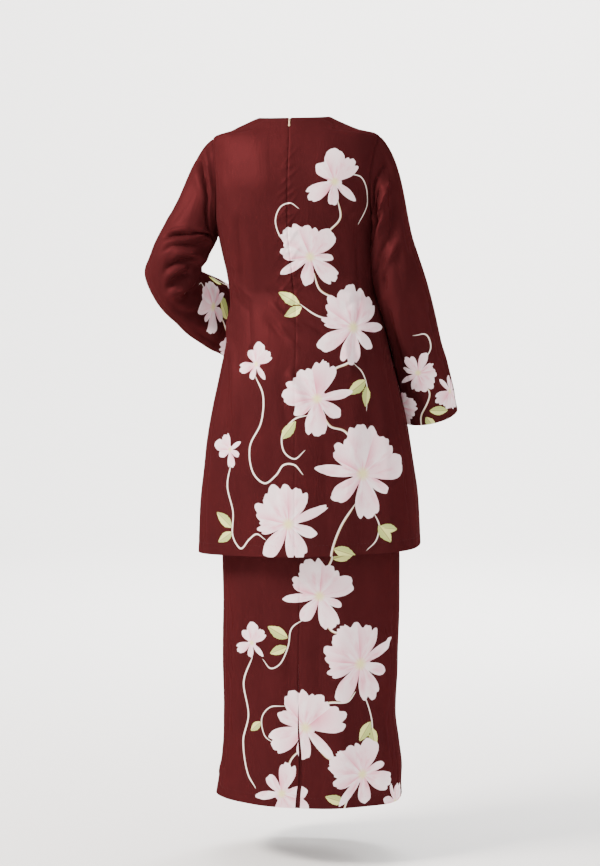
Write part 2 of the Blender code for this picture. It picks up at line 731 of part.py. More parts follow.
def make_slider(frame, material):
    """The slider: a body inside the tapes, a neck through the seam, and a saddle with an arch outside."""
    inside = -(WALL + SEAM_GAP + TAPE_WALL + SLIDER_CLEAR)
    body_z = inside - SLIDER_BODY[2] / 2
    neck_low, neck_high = inside - JOIN_OVERLAP, SLIDER_CLEAR + JOIN_OVERLAP
    saddle_top = SLIDER_CLEAR + SADDLE[2]
    arch_top = saddle_top + ARCH_OPENING[1] + ARCH_LEG
    leg_y = ARCH_OPENING[0] / 2 + ARCH_LEG / 2
    leg = (ARCH_WIDTH, ARCH_LEG, arch_top - saddle_top + JOIN_OVERLAP)
    leg_z = saddle_top - JOIN_OVERLAP + leg[2] / 2
    bridge = (ARCH_WIDTH, ARCH_OPENING[0] + 2 * JOIN_OVERLAP, ARCH_LEG)
    blocks = [
        (SLIDER_BODY, (0, 0, body_z)),
        ((*SLIDER_NECK, neck_high - neck_low), (0, 0, (neck_low + neck_high) / 2)),
        (SADDLE, (0, 0, SLIDER_CLEAR + SADDLE[2] / 2)),
        (leg, (0, leg_y, leg_z)),
        (leg, (0, -leg_y, leg_z)),
        (bridge, (0, 0, arch_top - ARCH_LEG / 2)),
    ]
    body, helpers = union("zip_slider", blocks, material)
    for obj in [body, *helpers]:
        obj.matrix_world = frame


def pull_outline():
    """Half the pull's outline from its hinge bar down, as (half width, distance)."""
    arm = ARCH_WIDTH / 2 + SLIDER_CLEAR + PULL_ARM
    points = [(arm, -PULL_BAR / 2), (arm, PULL_WINDOW)]
    belly, foot = PULL_WIDTH / 2, PULL_LENGTH - PULL_WIDTH / 2
    neck = (arm * PULL_NECK_SHARE, (PULL_WINDOW + foot) / 2)
    points.append(neck)
    for turn in np.linspace(0, math.pi / 2, PULL_FOOT_STEPS):
        points.append((belly * math.cos(turn), foot + belly * math.sin(turn)))
    return points


def make_pull(frame, material):
    """The pull tab: a teardrop plate with a window that the slider's arch passes through."""
    half = pull_outline()
    outline = half + [(-x, y) for x, y in reversed(half[:-1])]
    window_half = ARCH_WIDTH / 2 + SLIDER_CLEAR
    bm = bmesh.new()
    rim = [bm.verts.new((x, -y, -PULL_THICKNESS / 2)) for x, y in outline]
    plate = bm.faces.new(rim)
    raised = bmesh.ops.extrude_face_region(bm, geom=[plate])
    top = [v for v in raised["geom"] if isinstance(v, bmesh.types.BMVert)]
    bmesh.ops.translate(bm, verts=top, vec=(0, 0, PULL_THICKNESS))
    bmesh.ops.recalc_face_normals(bm, faces=bm.faces)
    mesh = bpy.data.meshes.new("zip_pull")
    bm.to_mesh(mesh)
    bm.free()
    pull = placed("zip_pull", mesh, material)
    cut = bmesh.new()
    low, high = PULL_WINDOW, PULL_BAR / 2
    box(cut, (window_half * 2, low - high, PULL_THICKNESS * 3), (0, -(low + high) / 2, 0))
    cutter_mesh = bpy.data.meshes.new("zip_pull_window")
    cut.to_mesh(cutter_mesh)
    cut.free()
    cutter = placed("zip_pull_window", cutter_mesh, material)
    cutter.hide_render, cutter.display_type = True, "WIRE"
    window = pull.modifiers.new("Window", "BOOLEAN")
    window.operation, window.object, window.solver = "DIFFERENCE", cutter, "EXACT"
    hinge = Matrix.Translation((0, 0, hinge_height())) @ Matrix.Rotation(math.radians(PULL_TILT_DEG), 4, "X")
    for obj in (pull, cutter):
        obj.matrix_world = frame @ hinge


def skirt_half_gap(z):
    """Half the space between the back panels: a seam down to the vent, then its two edges parting."""
    open_share = np.clip((VENT_TOP_Z - z) / (VENT_TOP_Z - SKIRT_HEM_Z), 0, 1)
    return SEAM_GAP / 2 + VENT_OPENING / 2 * open_share**0.8


def uncut(z):
    """No space at the middle of a front or band that is cut in one."""
    return 0.0


def skirt_heights():
    """Row heights from the hem up, with a row at the vent's top."""
    vent = np.linspace(SKIRT_HEM_Z, VENT_TOP_Z, VENT_ROWS + 1)
    return np.concatenate([vent, np.linspace(VENT_TOP_Z, SKIRT_TOP_Z, SKIRT_ROWS - VENT_ROWS + 1)[1:]])


def tube_half(tube, heights, side, hand, columns, last, gap):
    """(outer points, normals) of half a tube's front or back between its side seam and its middle."""
    turn = np.linspace(0, math.pi / 2, ROW_SAMPLES)
    rows = []
    for z in heights:
        inner = gap(z)
        curve = tube.point(inner + (tube.width(z) - inner) * np.cos(turn), np.full_like(turn, z), side)
        length = np.linalg.norm(np.diff(curve, axis=0), axis=1).sum()
        rows.append(spread_along(curve, column_shares(columns, length, last)))
    points = np.array(rows)
    middle = tube.shift(points[..., 2])
    points[..., 0] = middle + hand * (points[..., 0] - middle)
    normals = tube.normal(points, side)
    points = points + tube.fold(points, side)[..., None] * normals
    points[:, 0, 1] += side * SEAM_GAP / 2
    return points, normals


def make_skirt(material):
    """The skirt's front, its two back panels, the vent's underlap and the waistband."""
    heights = skirt_heights()
    lap = UNDERLAP_WIDTH / 2
    backs = {}
    for name, hand in (("left", 1), ("right", -1)):
        backs[name] = tube_half(SKIRT, heights, 1, hand, SKIRT_COLUMNS, lap, skirt_half_gap)
        cloth(f"skirt_back_{name}", *backs[name], material)
    halves = [
        tube_half(SKIRT, heights, -1, hand, SKIRT_COLUMNS, SKIRT_CENTRE_STRIP, uncut) for hand in (1, -1)
    ]
    joined = [np.concatenate([left, right[:, -2::-1]], axis=1) for left, right in zip(*halves)]
    cloth("skirt_front", *joined, material)
    below = slice(0, VENT_ROWS + 1)
    (left, left_way), (right, right_way) = backs["left"], backs["right"]
    points = np.concatenate([left[below, -2:], right[below, -1:-3:-1]], axis=1)
    ways = np.concatenate([left_way[below, -2:], right_way[below, -1:-3:-1]], axis=1)
    cloth("skirt_vent_underlap", points - (WALL + UNDERLAP_DEPTH) * ways, ways, material)
    make_waistband(material)


def make_waistband(material):
    """A plain band round the waist, above the skirt's top edge."""
    heights = np.linspace(WAISTBAND_TOP_Z - WAISTBAND_HEIGHT, WAISTBAND_TOP_Z, 2)
    rings = []
    for side, hand, backwards in ((1, 1, False), (1, -1, True), (-1, -1, False), (-1, 1, True)):
        points, normals = tube_half(SKIRT, heights, side, hand, SKIRT_COLUMNS, SKIRT_CENTRE_STRIP, uncut)
        points[:, 0, 1] = 0.0
        order = slice(None, None, -1) if backwards else slice(None)
        rings.append((points[:, order][:, :-1], normals[:, order][:, :-1]))
    points, normals = (np.concatenate(parts, axis=1) for parts in zip(*rings))
    cloth("skirt_waistband", points, normals, material, closed=True)


def finish_of(name, colour, roughness, metallic=0.0):
    """A Principled material of one plain finish."""
    material = bpy.data.materials.new(name)
    material.use_nodes = True
    shader = material.node_tree.nodes["Principled BSDF"]
    shader.inputs["Base Color"].default_value = (*colour, 1)
    shader.inputs["Roughness"].default_value = roughness
    shader.inputs["Metallic"].default_value = metallic
    return material


def main():
    for obj in list(bpy.data.objects):
        bpy.data.objects.remove(obj)
    maroon = finish_of("maroon_crepe", (0.145, 0.020, 0.022), 0.55)
    tape = finish_of("maroon_zip_tape", (0.100, 0.016, 0.018), 0.70)
    metal = finish_of("brass_zip_metal", (0.620, 0.470, 0.330), 0.35, 1.0)
    backs = make_tunic(maroon)
    make_sleeve({"sleeve_left": math.inf}, LEFT_ARM, 1, maroon)
    lengths = {"sleeve_right_upper": SLEEVE_SPLIT, "sleeve_right_lower": math.inf}
    make_sleeve(lengths, RIGHT_ARM, -1, maroon)
    make_zip_tapes(backs, tape)
    frame = slider_frame(backs)
    make_slider(frame, metal)
    make_pull(frame, metal)
    make_skirt(maroon)


main()
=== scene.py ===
"""Baju kurung, worn, with no wearer: a printed maroon tunic over a long straight skirt.

Metres, +Z up, the front faces -Y and the wearer's left is +X. Every panel is a thin shell of cloth on the
form of the solid that it stands for, with folds, seams and hems in the mesh and the print in the material.
"""

import logging
import math
from collections.abc import Callable, Iterable, Mapping, Sequence
from dataclasses import dataclass, field
from enum import Enum
from typing import Any, NamedTuple

import bmesh
import bpy
import numpy as np
from mathutils import Matrix, Vector


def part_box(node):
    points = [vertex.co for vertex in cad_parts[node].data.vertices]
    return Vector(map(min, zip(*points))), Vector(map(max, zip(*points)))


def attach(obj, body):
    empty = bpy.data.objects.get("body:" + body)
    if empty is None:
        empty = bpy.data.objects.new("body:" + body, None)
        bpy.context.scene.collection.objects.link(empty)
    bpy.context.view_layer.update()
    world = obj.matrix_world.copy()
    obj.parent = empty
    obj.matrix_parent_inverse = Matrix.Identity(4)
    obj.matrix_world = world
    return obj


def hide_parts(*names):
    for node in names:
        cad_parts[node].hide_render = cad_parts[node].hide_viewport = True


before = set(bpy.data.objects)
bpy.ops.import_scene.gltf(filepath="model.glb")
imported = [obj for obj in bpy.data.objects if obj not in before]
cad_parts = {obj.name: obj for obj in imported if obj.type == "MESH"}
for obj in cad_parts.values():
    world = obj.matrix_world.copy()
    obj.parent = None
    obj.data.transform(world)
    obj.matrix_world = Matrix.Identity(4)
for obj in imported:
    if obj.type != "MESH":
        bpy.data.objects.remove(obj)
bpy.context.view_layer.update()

log = logging.getLogger("baju_kurung")

Array = np.ndarray
MM = 0.001

# Cloth: real satin crepe is about 0.4 mm, and its seams are pressed into the surface
CLOTH = 0.0006
UNDERLAP_CLOTH = 0.0009
WAISTBAND_CLOTH = 0.0016
HEM_DEPTH = 0.021
HEM_EXTRA = 0.0005
SEAM_GAP = 0.0003
SLEEVE_CLEAR = 0.0030
SEAM_SINK = 0.0010
SEAM_SOFTNESS = 0.0019
CALM_EDGE = 0.014  # over which folds die away towards a seam
EDGE_ROWS = (0.0, 0.0006, 0.0016, 0.0031, 0.0052, 0.0082)  # distances of the close rows along an edge
CLOSED_GAP = 0.00006  # from a closed seam's middle to each edge
HEM_EASE = 0.002  # over which a hem's doubled cloth begins
HEM_DENT = 0.00035
HEM_DENT_WIDTH = 0.0024
WAVINESS = 0.00045
FOLD_RUN_OUT = 0.12  # how far a fold goes on past its ends, and over how much of it it fades, in lengths
FOLD_FADE = 0.40
TROUGH_SHARPNESS = 1.35
RIDGE_SHARPNESS = 2.0

# Tunic landmarks, as heights above the origin
SHOULDER_TIP_Z = -0.041
UNDERARM_Z = -0.228
NECK_HALF_WIDTH = 0.072
BACK_NECK_DROP = 0.006
FRONT_NECK_DROP = 0.085
TUNIC_HEM_Z = -0.877
TUNIC_HEM_TILT = 0.030
ARMHOLE_BACK_DEG = 27.0
ARMHOLE_FRONT_DEG = 29.0
SHOULDER_RUN = NECK_HALF_WIDTH + 0.035

# Skirt landmarks
WAISTBAND_TOP_Z = -0.326
WAISTBAND_HEIGHT = 0.032
SKIRT_TOP_Z = WAISTBAND_TOP_Z - WAISTBAND_HEIGHT - SEAM_GAP
SKIRT_HEM_Z = -1.384
VENT_TOP_Z = -1.175
VENT_OPENING = 0.010
UNDERLAP_HALF_WIDTH = 0.026
UNDERLAP_DEPTH = 0.0026

# Centre back zip
ZIP_LENGTH = 0.390
ZIP_TAPE_WIDTH = 0.012
ZIP_TOP_OPENING = 0.0032
ZIP_TOP_TAPER = 0.018
PUCKER_WIDTH = 0.0042
PUCKER_TAIL = 1.6  # how far a pucker fades out, in reaches
SEAM_FLAT = 0.002  # beside a seam, where puckers and gathers begin

SLEEVE_GIRTH_RADIUS = 0.055  # of the flat cloth that its folds and print are laid on
ARMHOLE_CALM = 0.05
GATHER_LENGTH = 0.024
GATHER_HALF_DEG = 3.2


class Side(Enum):
    """Which half of a body tube a panel belongs to."""

    BACK = 1
    FRONT = -1


class Hand(Enum):
    """The wearer's left or right."""

    LEFT = 1
    RIGHT = -1


class Section(NamedTuple):
    """A level cut through a body tube: where its middle lies and how far it reaches."""

    height: float
    shift_x: float
    half_width: float
    front: float
    back: float
    squareness: float


class Flute(NamedTuple):
    """A hanging fold of a body tube, growing from its top down: an angle round the body, 90 at the back."""

    angle: float
    half_angle: float
    top: float
    bottom: float
    depth: float
    drift: float


class Ring(NamedTuple):
    """A cut across a sleeve: its distance down the arm, its reach each way, and the sag of its underside."""

    along: float
    outer: float
    inner: float
    back: float
    front: float
    sag: float


class Crease(NamedTuple):
    """A broad ridge of a sleeve's form, or a trough where the height is negative."""

    along: float
    around: float
    half_length: float
    half_width: float
    height: float
    slant: float


class Arm(NamedTuple):
    """The line that a sleeve follows, from the armhole's middle past the elbow to the cuff."""

    shoulder: tuple[float, float, float]
    elbow: tuple[float, float, float]
    cuff: tuple[float, float, float]
    bend_radius: float
    cap_length: float
    top_turn: tuple[float, float, float]
    under_turn: tuple[float, float, float]
    rings: tuple[Ring, ...]
    creases: tuple[Crease, ...]


class Fold(NamedTuple):
    """A soft ridge between two places on the flat cloth, or a trough where the height is negative.

    Bow bends its line sideways at the middle, and lean makes the flank on that side broader than the other.
    """

    start: tuple[float, float]
    end: tuple[float, float]
    width: float
    height: float
    bow: float = 0.0
    lean: float = 0.0


class Bloom(NamedTuple):
    """A printed blossom: its middle on the flat cloth, its radius, its design and its turn in degrees."""

    across: float
    down: float
    radius: float
    design: int
    turn: float


class Leaf(NamedTuple):
    """A printed leaf: its foot on the flat cloth, its length and the way that it points, in degrees."""

    across: float
    down: float
    length: float
    turn: float


class Stem(NamedTuple):
    """A printed stem or tendril: half its width, whether it is shaded on one side, and its line's points."""

    half_width: float
    shaded: bool
    line: tuple[tuple[float, float], ...]


class Print(NamedTuple):
    """Everything printed on one piece of cloth."""

    blooms: tuple[Bloom, ...]
    leaves: tuple[Leaf, ...]
    stems: tuple[Stem, ...]


Row = Sequence[float]


def records(kind: Callable[..., Any], scales: Row, rows: Iterable[Row]) -> tuple[Any, ...]:
    """Records from the rows of a table.

    Args:
        kind: What each row makes.
        scales: What each value of a row is multiplied by.
        rows: The table.

    Returns:
        The records.
    """
    return tuple(kind(*(value * scale for value, scale in zip(row, scales))) for row in rows)


def section_table(*rows: Row) -> tuple[Section, ...]:
    """Level cuts from rows in millimetres."""
    return records(Section, (MM, MM, MM, MM, MM, 1), rows)


def flute_table(*rows: Row) -> tuple[Flute, ...]:
    """Hanging folds from rows in degrees and millimetres."""
    return records(Flute, (1, 1, MM, MM, MM, 1), rows)


def ring_table(*rows: Row) -> tuple[Ring, ...]:
    """A sleeve's cuts from rows in millimetres."""
    return records(Ring, (MM, MM, MM, MM, MM, MM), rows)


def crease_table(*rows: Row) -> tuple[Crease, ...]:
    """A sleeve's broad creases from rows in millimetres and degrees."""
    return records(Crease, (MM, 1, MM, MM, MM, 1), rows)


def fold_table(*rows: Row, across: float = MM) -> tuple[Fold, ...]:
    """Folds from rows in millimetres.

    Args:
        rows: Where each fold starts and ends, across and down, its width, its height, its bow and any lean.
        across: What the places across are multiplied by, 1 where they are degrees.

    Returns:
        The folds.
    """
    return tuple(
        Fold((x * across, z * MM), (end_x * across, end_z * MM), width * MM, height * MM, bow * MM, *lean)
        for x, z, end_x, end_z, width, height, bow, *lean in rows
    )


def print_table(blooms: Iterable[Row], leaves: Iterable[Row], stems: Iterable[Sequence[Any]]) -> Print:
    """A print from rows in millimetres and degrees.

    Args:
        blooms: Each blossom's place, radius, design and turn.
        leaves: Each leaf's foot, length and turn.
        stems: Half of each stem's width, whether it is shaded, and its points.

    Returns:
        The print.
    """
    lines = (
        Stem(half_width * MM, shaded, tuple((across / 1000, down / 1000) for across, down in line))
        for half_width, shaded, *line in stems
    )
    drawn = records(Bloom, (MM, MM, MM, 1, 1), blooms), records(Leaf, (MM, MM, MM, 1), leaves)
    return Print(*drawn, tuple(lines))


NO_PRINT = Print((), (), ())

TUNIC_SECTIONS = section_table(
    (0, 4, NECK_HALF_WIDTH / MM, 52, 48, 1.85),
    (-10, 6, 94, 59, 57, 1.85),
    (-18, 6, 112, 63, 63, 1.85),
    (-27, 4, 133, 67, 69, 1.9),
    (-35, 3, 164, 71, 74, 1.95),
    (-41, 2, 171, 74, 78, 2),
    (-60, 1, 174, 81, 88, 2.1),
    (-100, 0, 175.5, 94, 102, 2.25),
    (-150, 0, 173, 112, 111, 2.3),
    (-200, 0, 168, 122, 111, 2.3),
    (-232, 0, 162, 123, 108, 2.3),
    (-275, -3, 156.5, 119, 102, 2.25),
    (-320, -7, 150.5, 112, 96, 2.2),
    (-350, -9.8, 148.8, 110, 95, 2.2),
    (-375, -14.3, 151.8, 113, 101, 2.2),
    (-416, -18, 159, 121, 115, 2.2),
    (-457, -20.5, 165.5, 130, 129, 2.2),
    (-540, -22, 183.5, 146, 148, 2.2),
    (-640, -24, 204, 158, 161, 2.2),
    (-700, -25, 212, 163, 166, 2.2),
    (-785, -26, 221.5, 169, 172, 2.2),
    (-905, -27, 226.5, 175, 178, 2.2),
)

TUNIC_FLUTES = flute_table(
    (28, 15, -340, -905, 10, 4),
    (58, 13, -400, -905, -6, 3),
    (92, 16, -380, -905, 6, -3),
    (124, 13, -420, -905, -7, -4),
    (152, 14, -360, -905, 9, -3),
    (205, 15, -380, -905, 9, 4),
    (238, 13, -440, -905, -7, 3),
    (272, 16, -400, -905, 8, 0),
    (304, 13, -420, -905, -6, -4),
    (334, 14, -360, -905, 10, -3),
)

SKIRT_SECTIONS = section_table(
    (-320, -6, 124, 90, 81, 2.15),
    (-358, -9, 126, 91, 82, 2.15),
    (-416, -15, 139, 100, 98, 2.15),
    (-480, -20, 153, 110, 113, 2.15),
    (-560, -22, 166, 120, 127, 2.2),
    (-640, -25, 174, 126, 134, 2.25),
    (-760, -27, 179.5, 131, 138, 2.3),
    (-900, -29, 182, 134, 140, 2.3),
    (-990, -30, 181.5, 135, 141, 2.3),
    (-1113, -28, 180, 138, 142, 2.3),
    (-1216, -28, 176, 140, 143, 2.3),
    (-1277, -32, 180, 141, 145, 2.3),
    (-1318, -33, 184.5, 143, 147, 2.3),
    (-1359, -29, 187.5, 144, 149, 2.3),
    (-1390, -27, 190.5, 146, 150, 2.3),
)

SKIRT_FLUTES = flute_table(
    (20, 16, -950, -1390, 5, 3),
    (52, 14, -900, -1390, -5, -2),
    (128, 14, -1000, -1390, -6, 3),
    (158, 14, -950, -1390, 7, -2),
    (212, 15, -950, -1390, -5, 2),
    (250, 18, -900, -1390, 6, 0),
    (296, 18, -920, -1390, 6, 0),
    (330, 14, -950, -1390, -5, -2),
)

LEFT_ARM = Arm(
    shoulder=(0.160, 0.000, -0.135),
    elbow=(0.272, 0.024, -0.322),
    cuff=(0.145, -0.178, -0.398),
    bend_radius=0.055,
    cap_length=0.112,
    top_turn=(0.84, 0.00, -0.54),
    under_turn=(0.62, 0.00, -0.78),
    rings=ring_table(
        (112, 54, 56, 57, 53, 0),
        (155, 54, 58, 57, 47, 3),
        (190, 57, 56, 62, 43, 10),
        (225, 60, 50, 66, 41, 20),
        (270, 53, 45, 62, 40, 32),
        (330, 47, 43, 62, 40, 46),
        (400, 44, 43, 62, 40, 52),
    ),
    creases=crease_table(
        (150, 262, 55, 12, -7, 12),
        (128, 120, 50, 13, -6, -8),
        (152, 128, 50, 11, 5, -10),
        (176, 140, 55, 12, -6, -14),
        (206, 150, 50, 11, 5, -18),
        (238, 215, 50, 12, -6, 10),
        (270, 165, 55, 14, -5, -20),
        (320, 130, 60, 18, 5, -30),
        (206, 8, 24, 15, 7, 0),
        (178, 12, 30, 16, -3, 0),
        (236, 62, 45, 32, -9, 0),
    ),
)

RIGHT_ARM = Arm(
    shoulder=(0.160, 0.000, -0.135),
    elbow=(0.2190, -0.004, -0.345),
    cuff=(0.2600, -0.106, -0.607),
    bend_radius=0.120,
    cap_length=0.130,
    top_turn=(0.74, 0.00, -0.67),
    under_turn=(0.30, 0.00, -0.95),
    rings=ring_table(
        (130, 44, 54, 61, 60, 0),
        (200, 48, 60, 60, 58, 0),
        (280, 52, 60, 58, 56, 0),
        (360, 54, 56, 56, 55, 0),
        (430, 57, 58, 54, 54, 0),
        (500, 60, 60, 54, 54, 0),
    ),
    creases=crease_table(
        (70, 118, 60, 12, -8, 62),
        (66, 92, 60, 12, 6, 66),
        (90, 60, 60, 14, -5, 74),
        (190, 125, 50, 16, -5, 40),
        (240, 70, 70, 16, -4, 76),
        (230, 250, 50, 14, -6, -20),
        (330, 100, 70, 18, 5, 80),
        (400, 40, 60, 18, -5, 82),
        (410, 140, 60, 18, -5, 84),
        (245, 176, 30, 70, 5, 0),
    ),
)


# Folds, row by row: start, end, width, height, bow and any lean, as fold_table takes them. Across is measured
# from the centre of the body to the wearer's left, and down is the height.
TUNIC_BACK_FOLDS = fold_table(
    (101.6, -195, 104.3, -345, 6.2, -2.4, 3),
    (118, -190, 122, -375, 13, 2.7, 4, 0.3),
    (82, -220, 88, -360, 12, 1.9, -3),
    (104.3, -345, 89.5, -575, 6, -1.9, 2),
    (96, -462, 88, -508, 6.5, -4.4, 2),
    (188, -395, 150, -485, 10, 4.4, 6, -0.3),
    (152, -470, 128, -640, 10, 5.4, -4, -0.3),
    (168, -480, 152, -700, 13, -4.7, 0),
    (188, -620, 190, -880, 16, 5.4, 4),
    (96, -630, 66, -870, 20, 4.1, 6),
    (60, -560, 36, -800, 16, -3, -6),
    (158, -110, 86, -215, 20, 2.7, 12),
    (60, -40, 50, -180, 26, 2.2, -4),
    (-142.6, -235, -120.8, -462, 6, -2, -3),
    (-128, -230, -104, -440, 12, 1.9, -3),
    (-118, -440, -131.9, -512, 8, -6.8, 4, 0.3),
    (-100, -452, -114, -520, 7.5, 4, 4),
    (-88, -478, -128, -514, 6.5, 3, 3),
    (-148, -480, -152, -700, 14, -4.4, -4),
    (-126, -520, -112, -870, 20, 5.1, 4),
    (-182, -560, -190, -870, 15, 4.3, -4),
    (-60, -610, -70, -870, 18, -3.2, 4),
    (-185, -165, -112, -200, 12, 2.7, -6, 0.3),
    (-180, -195, -126, -262, 10, -2.2, -4),
    (-70, -60, -90, -180, 22, 1.9, 6),
    (50, -376, -12, -434, 6.5, 4, 3, 0.2),
    (30, -349, -18, -372, 5, 3.2, 2),
    (64, -402, 6, -456, 8, -3.7, 3),
    (56, -348, 12, -366, 5, -2.5, 2),
    (36, -420, -6, -470, 7, 3.4, 2),
    (-4, -388, -64, -408, 6, 2.9, -3),
    (-8, -410, -60, -444, 6, -2.9, -3),
    (12, -512, -22, -578, 8.5, 5.7, 3, 0.2),
    (-4, -506, -40, -566, 8, -4, 3),
    (30, -520, 10, -640, 10, -3, 2),
    (150, -330, 90, -372, 8, 3, -4),
    (156, -362, 100, -398, 8.5, -3, -4),
    (148, -296, 112, -318, 6.5, 2, -3),
    (-150, -330, -92, -352, 8, 2.9, 4),
    (-150, -360, -98, -392, 8, -3, 4),
)

# Short puckers of the zip's seam, in millimetres: height, reach to the left, reach to the right, size
ZIP_PUCKERS = (
    (-48, 12, 9, 0.9), (-71, 15, 8, 1), (-92, 9, 16, 1.2), (-109, 18, 10, 1.2), (-131, 14, 20, 1.5),
    (-150, 22, 12, 1.4), (-166, 13, 18, 1.5), (-188, 24, 16, 1.8), (-204, 17, 24, 1.6),
    (-223, 28, 18, 1.9), (-241, 20, 27, 1.8), (-256, 30, 20, 2.1), (-275, 24, 30, 1.9),
    (-291, 34, 22, 2.3), (-309, 26, 32, 2.1), (-325, 32, 24, 2.1), (-342, 24, 28, 1.8),
    (-361, 20, 22, 1.5),
)

TUNIC_FRONT_FOLDS = fold_table(
    (110, -225, 98, -345, 6.2, -2, 2),
    (100, -345, 96, -500, 6, -1.6, 2),
    (-112, -222, -100, -350, 6.2, -2, -2),
    (-102, -350, -98, -495, 6, -1.6, -2),
    (168, -120, 108, -205, 14, 3.1, 8, 0.2),
    (172, -160, 126, -238, 10, -2.3, 6),
    (-170, -118, -104, -198, 14, 2.9, -8, 0.2),
    (-172, -166, -130, -232, 10, -2.3, -6),
    (150, -300, 60, -345, 8, 2.7, 6),
    (150, -330, 72, -380, 8, -2.6, 6),
    (146, -372, 84, -398, 7, 2.1, 4),
    (-150, -305, -66, -340, 8, 2.5, -6),
    (-150, -338, -70, -386, 8, -2.6, -6),
    (-146, -380, -90, -410, 7, 2.1, -4),
    (30, -330, -40, -352, 9, 1.8, 3),
    (44, -372, -24, -384, 8, -1.7, 3),
    (180, -420, 150, -660, 12, 3.9, 4),
    (128, -460, 140, -860, 18, -3.4, 4),
    (60, -520, 50, -870, 20, 3.9, -4),
    (0, -480, -8, -800, 18, -2.6, 4),
    (-70, -520, -62, -870, 20, 3.6, 4),
    (-132, -460, -142, -860, 18, -3.4, -4),
    (-184, -440, -176, -760, 14, 4.2, -4),
    (196, -620, 200, -870, 14, -3.6, 3),
    (40, -110, 20, -220, 26, 1.8, 4),
    (-52, -105, -36, -210, 24, 1.6, -4),
)

SKIRT_BACK_FOLDS = fold_table(
    (128, -870, 138, -1345, 18, 4, 4, 0.2),
    (78, -900, 82, -1300, 19, -3, -4),
    (190, -920, 196, -1250, 14, -2.8, 4),
    (36, -1020, 40, -1380, 14, 2.2, 3),
    (18, -980, 15, -1170, 8, -1.5, 0),
    (231.1, -1322, 150, -1372, 10, 3.5, 4, 0.2),
    (222, -1346, 176, -1384, 8, -2.8, 3),
    (-174, -1020, -213.5, -1105, 7.5, 3.2, 4, 0.2),
    (-188, -1016, -222, -1078, 7.5, -2.2, 3),
    (-81.6, -980, -93.1, -1350, 20, 3.2, 4),
    (-144.4, -888, -150, -1220, 17, -3, -4),
    (-36, -1020, -44, -1370, 12, -1.9, -3),
    (-190, -1180, -172, -1384, 14, 3.7, 4),
    (-214, -1230, -206, -1384, 12, -3, 3),
    (60, -500, 20, -560, 10, 2, 3),
    (-70, -480, -24, -540, 10, 2, 3),
)

SKIRT_FRONT_FOLDS = fold_table(
    (150, -860, 158, -1360, 18, 3.7, 4),
    (96, -900, 90, -1330, 19, -3.2, -4),
    (40, -840, 34, -1370, 20, 3.2, 4),
    (-20, -880, -14, -1340, 18, -2.8, 3),
    (-80, -840, -88, -1370, 20, 3.5, -4),
    (-150, -900, -146, -1330, 18, -3.2, -4),
    (-200, -980, -206, -1370, 14, 3.2, 3),
    (205, -1000, 198, -1376, 14, -2.8, 3),
    (120, -1130, 40, -1180, 12, 2.2, 6),
    (-60, -1150, -130, -1200, 12, 2.2, -6),
    (226, -1330, 150, -1376, 10, 3, 3),
)

# Folds of the sleeves: across is in degrees round the arm from its outer side, and down is the way along it
SLEEVE_LEFT_FOLDS = fold_table(
    (58, 152, 104, 121, 4.2, -11, 2, 0.2),
    (100, 124, 160, 66, 4.4, -13, -2, 0.2),
    (60, 143, 108, 111, 7.5, 8, 2),
    (104, 115, 152, 63, 7.5, 5, -2),
    (70, 162, 150, 86, 7.8, 5.2, -2),
    (72, 169, 122, 137, 4, -7.2, 2),
    (112, 144, 160, 104, 4, -6, -2),
    (90, 184, 154, 150, 4.2, -11.5, 2),
    (96, 173, 140, 147, 6.2, 6, 2),
    (92, 195, 142, 173, 5.2, 9.5, 2),
    (98, 202, 152, 185, 4.8, -12, 2),
    (94, 209.5, 154, 211, 4.2, 8.5, 3),
    (108, 222, 162, 230, 8, -8, 3),
    (136, 206, 170, 256, 6.2, -6.2, 3),
    (94, 214, 146, 269, 8.5, -5.9, 4),
    (104, 210, 158, 274, 8, 4.9, 4),
    (120, 264, 142, 340, 10, 5.2, -3),
    (100, 282, 112, 370, 10, -4.2, 3),
    (14, 17, 98, 14, 6.2, 5.5, 1),
    (10, 33, 98, 29, 5, -10.5, 2, 0.2),
    (94, 29, 150, 68, 5.4, -9, -3),
    (146, 66, 198, 106, 6.6, -4.8, 2),
    (30, 47, 94, 42, 8.5, 2.9, 2),
    (42, 52, 22, 132, 13, 2.6, 4),
    (66, 62, 54, 118, 10, -2.2, 2),
    (4, 90, 350, 190, 13, 2.4, 3),
    (322, 20, 300, 90, 9, -3.6, 3),
    (300, 24, 270, 86, 9, 3.1, 2),
    (250, 100, 310, 144, 6.5, -4.6, 3),
    (244, 118, 304, 162, 7.5, 3.6, 3),
    (236, 132, 292, 182, 6, -4.3, 3),
    (228, 170, 280, 198, 6.5, -4.3, 2),
    (232, 182, 286, 212, 7.5, 3.6, 2),
    (210, 220, 262, 230, 6.5, -4.1, 3),
    (262, 260, 240, 360, 10, 3.1, 4),
    (300, 270, 286, 380, 11, -2.6, 4),
    (20, 280, 34, 410, 11, 2.9, 3),
    (60, 300, 66, 420, 10, -3.5, 3),
    (180, 300, 196, 410, 11, -2.9, 3),
    across=1,
)

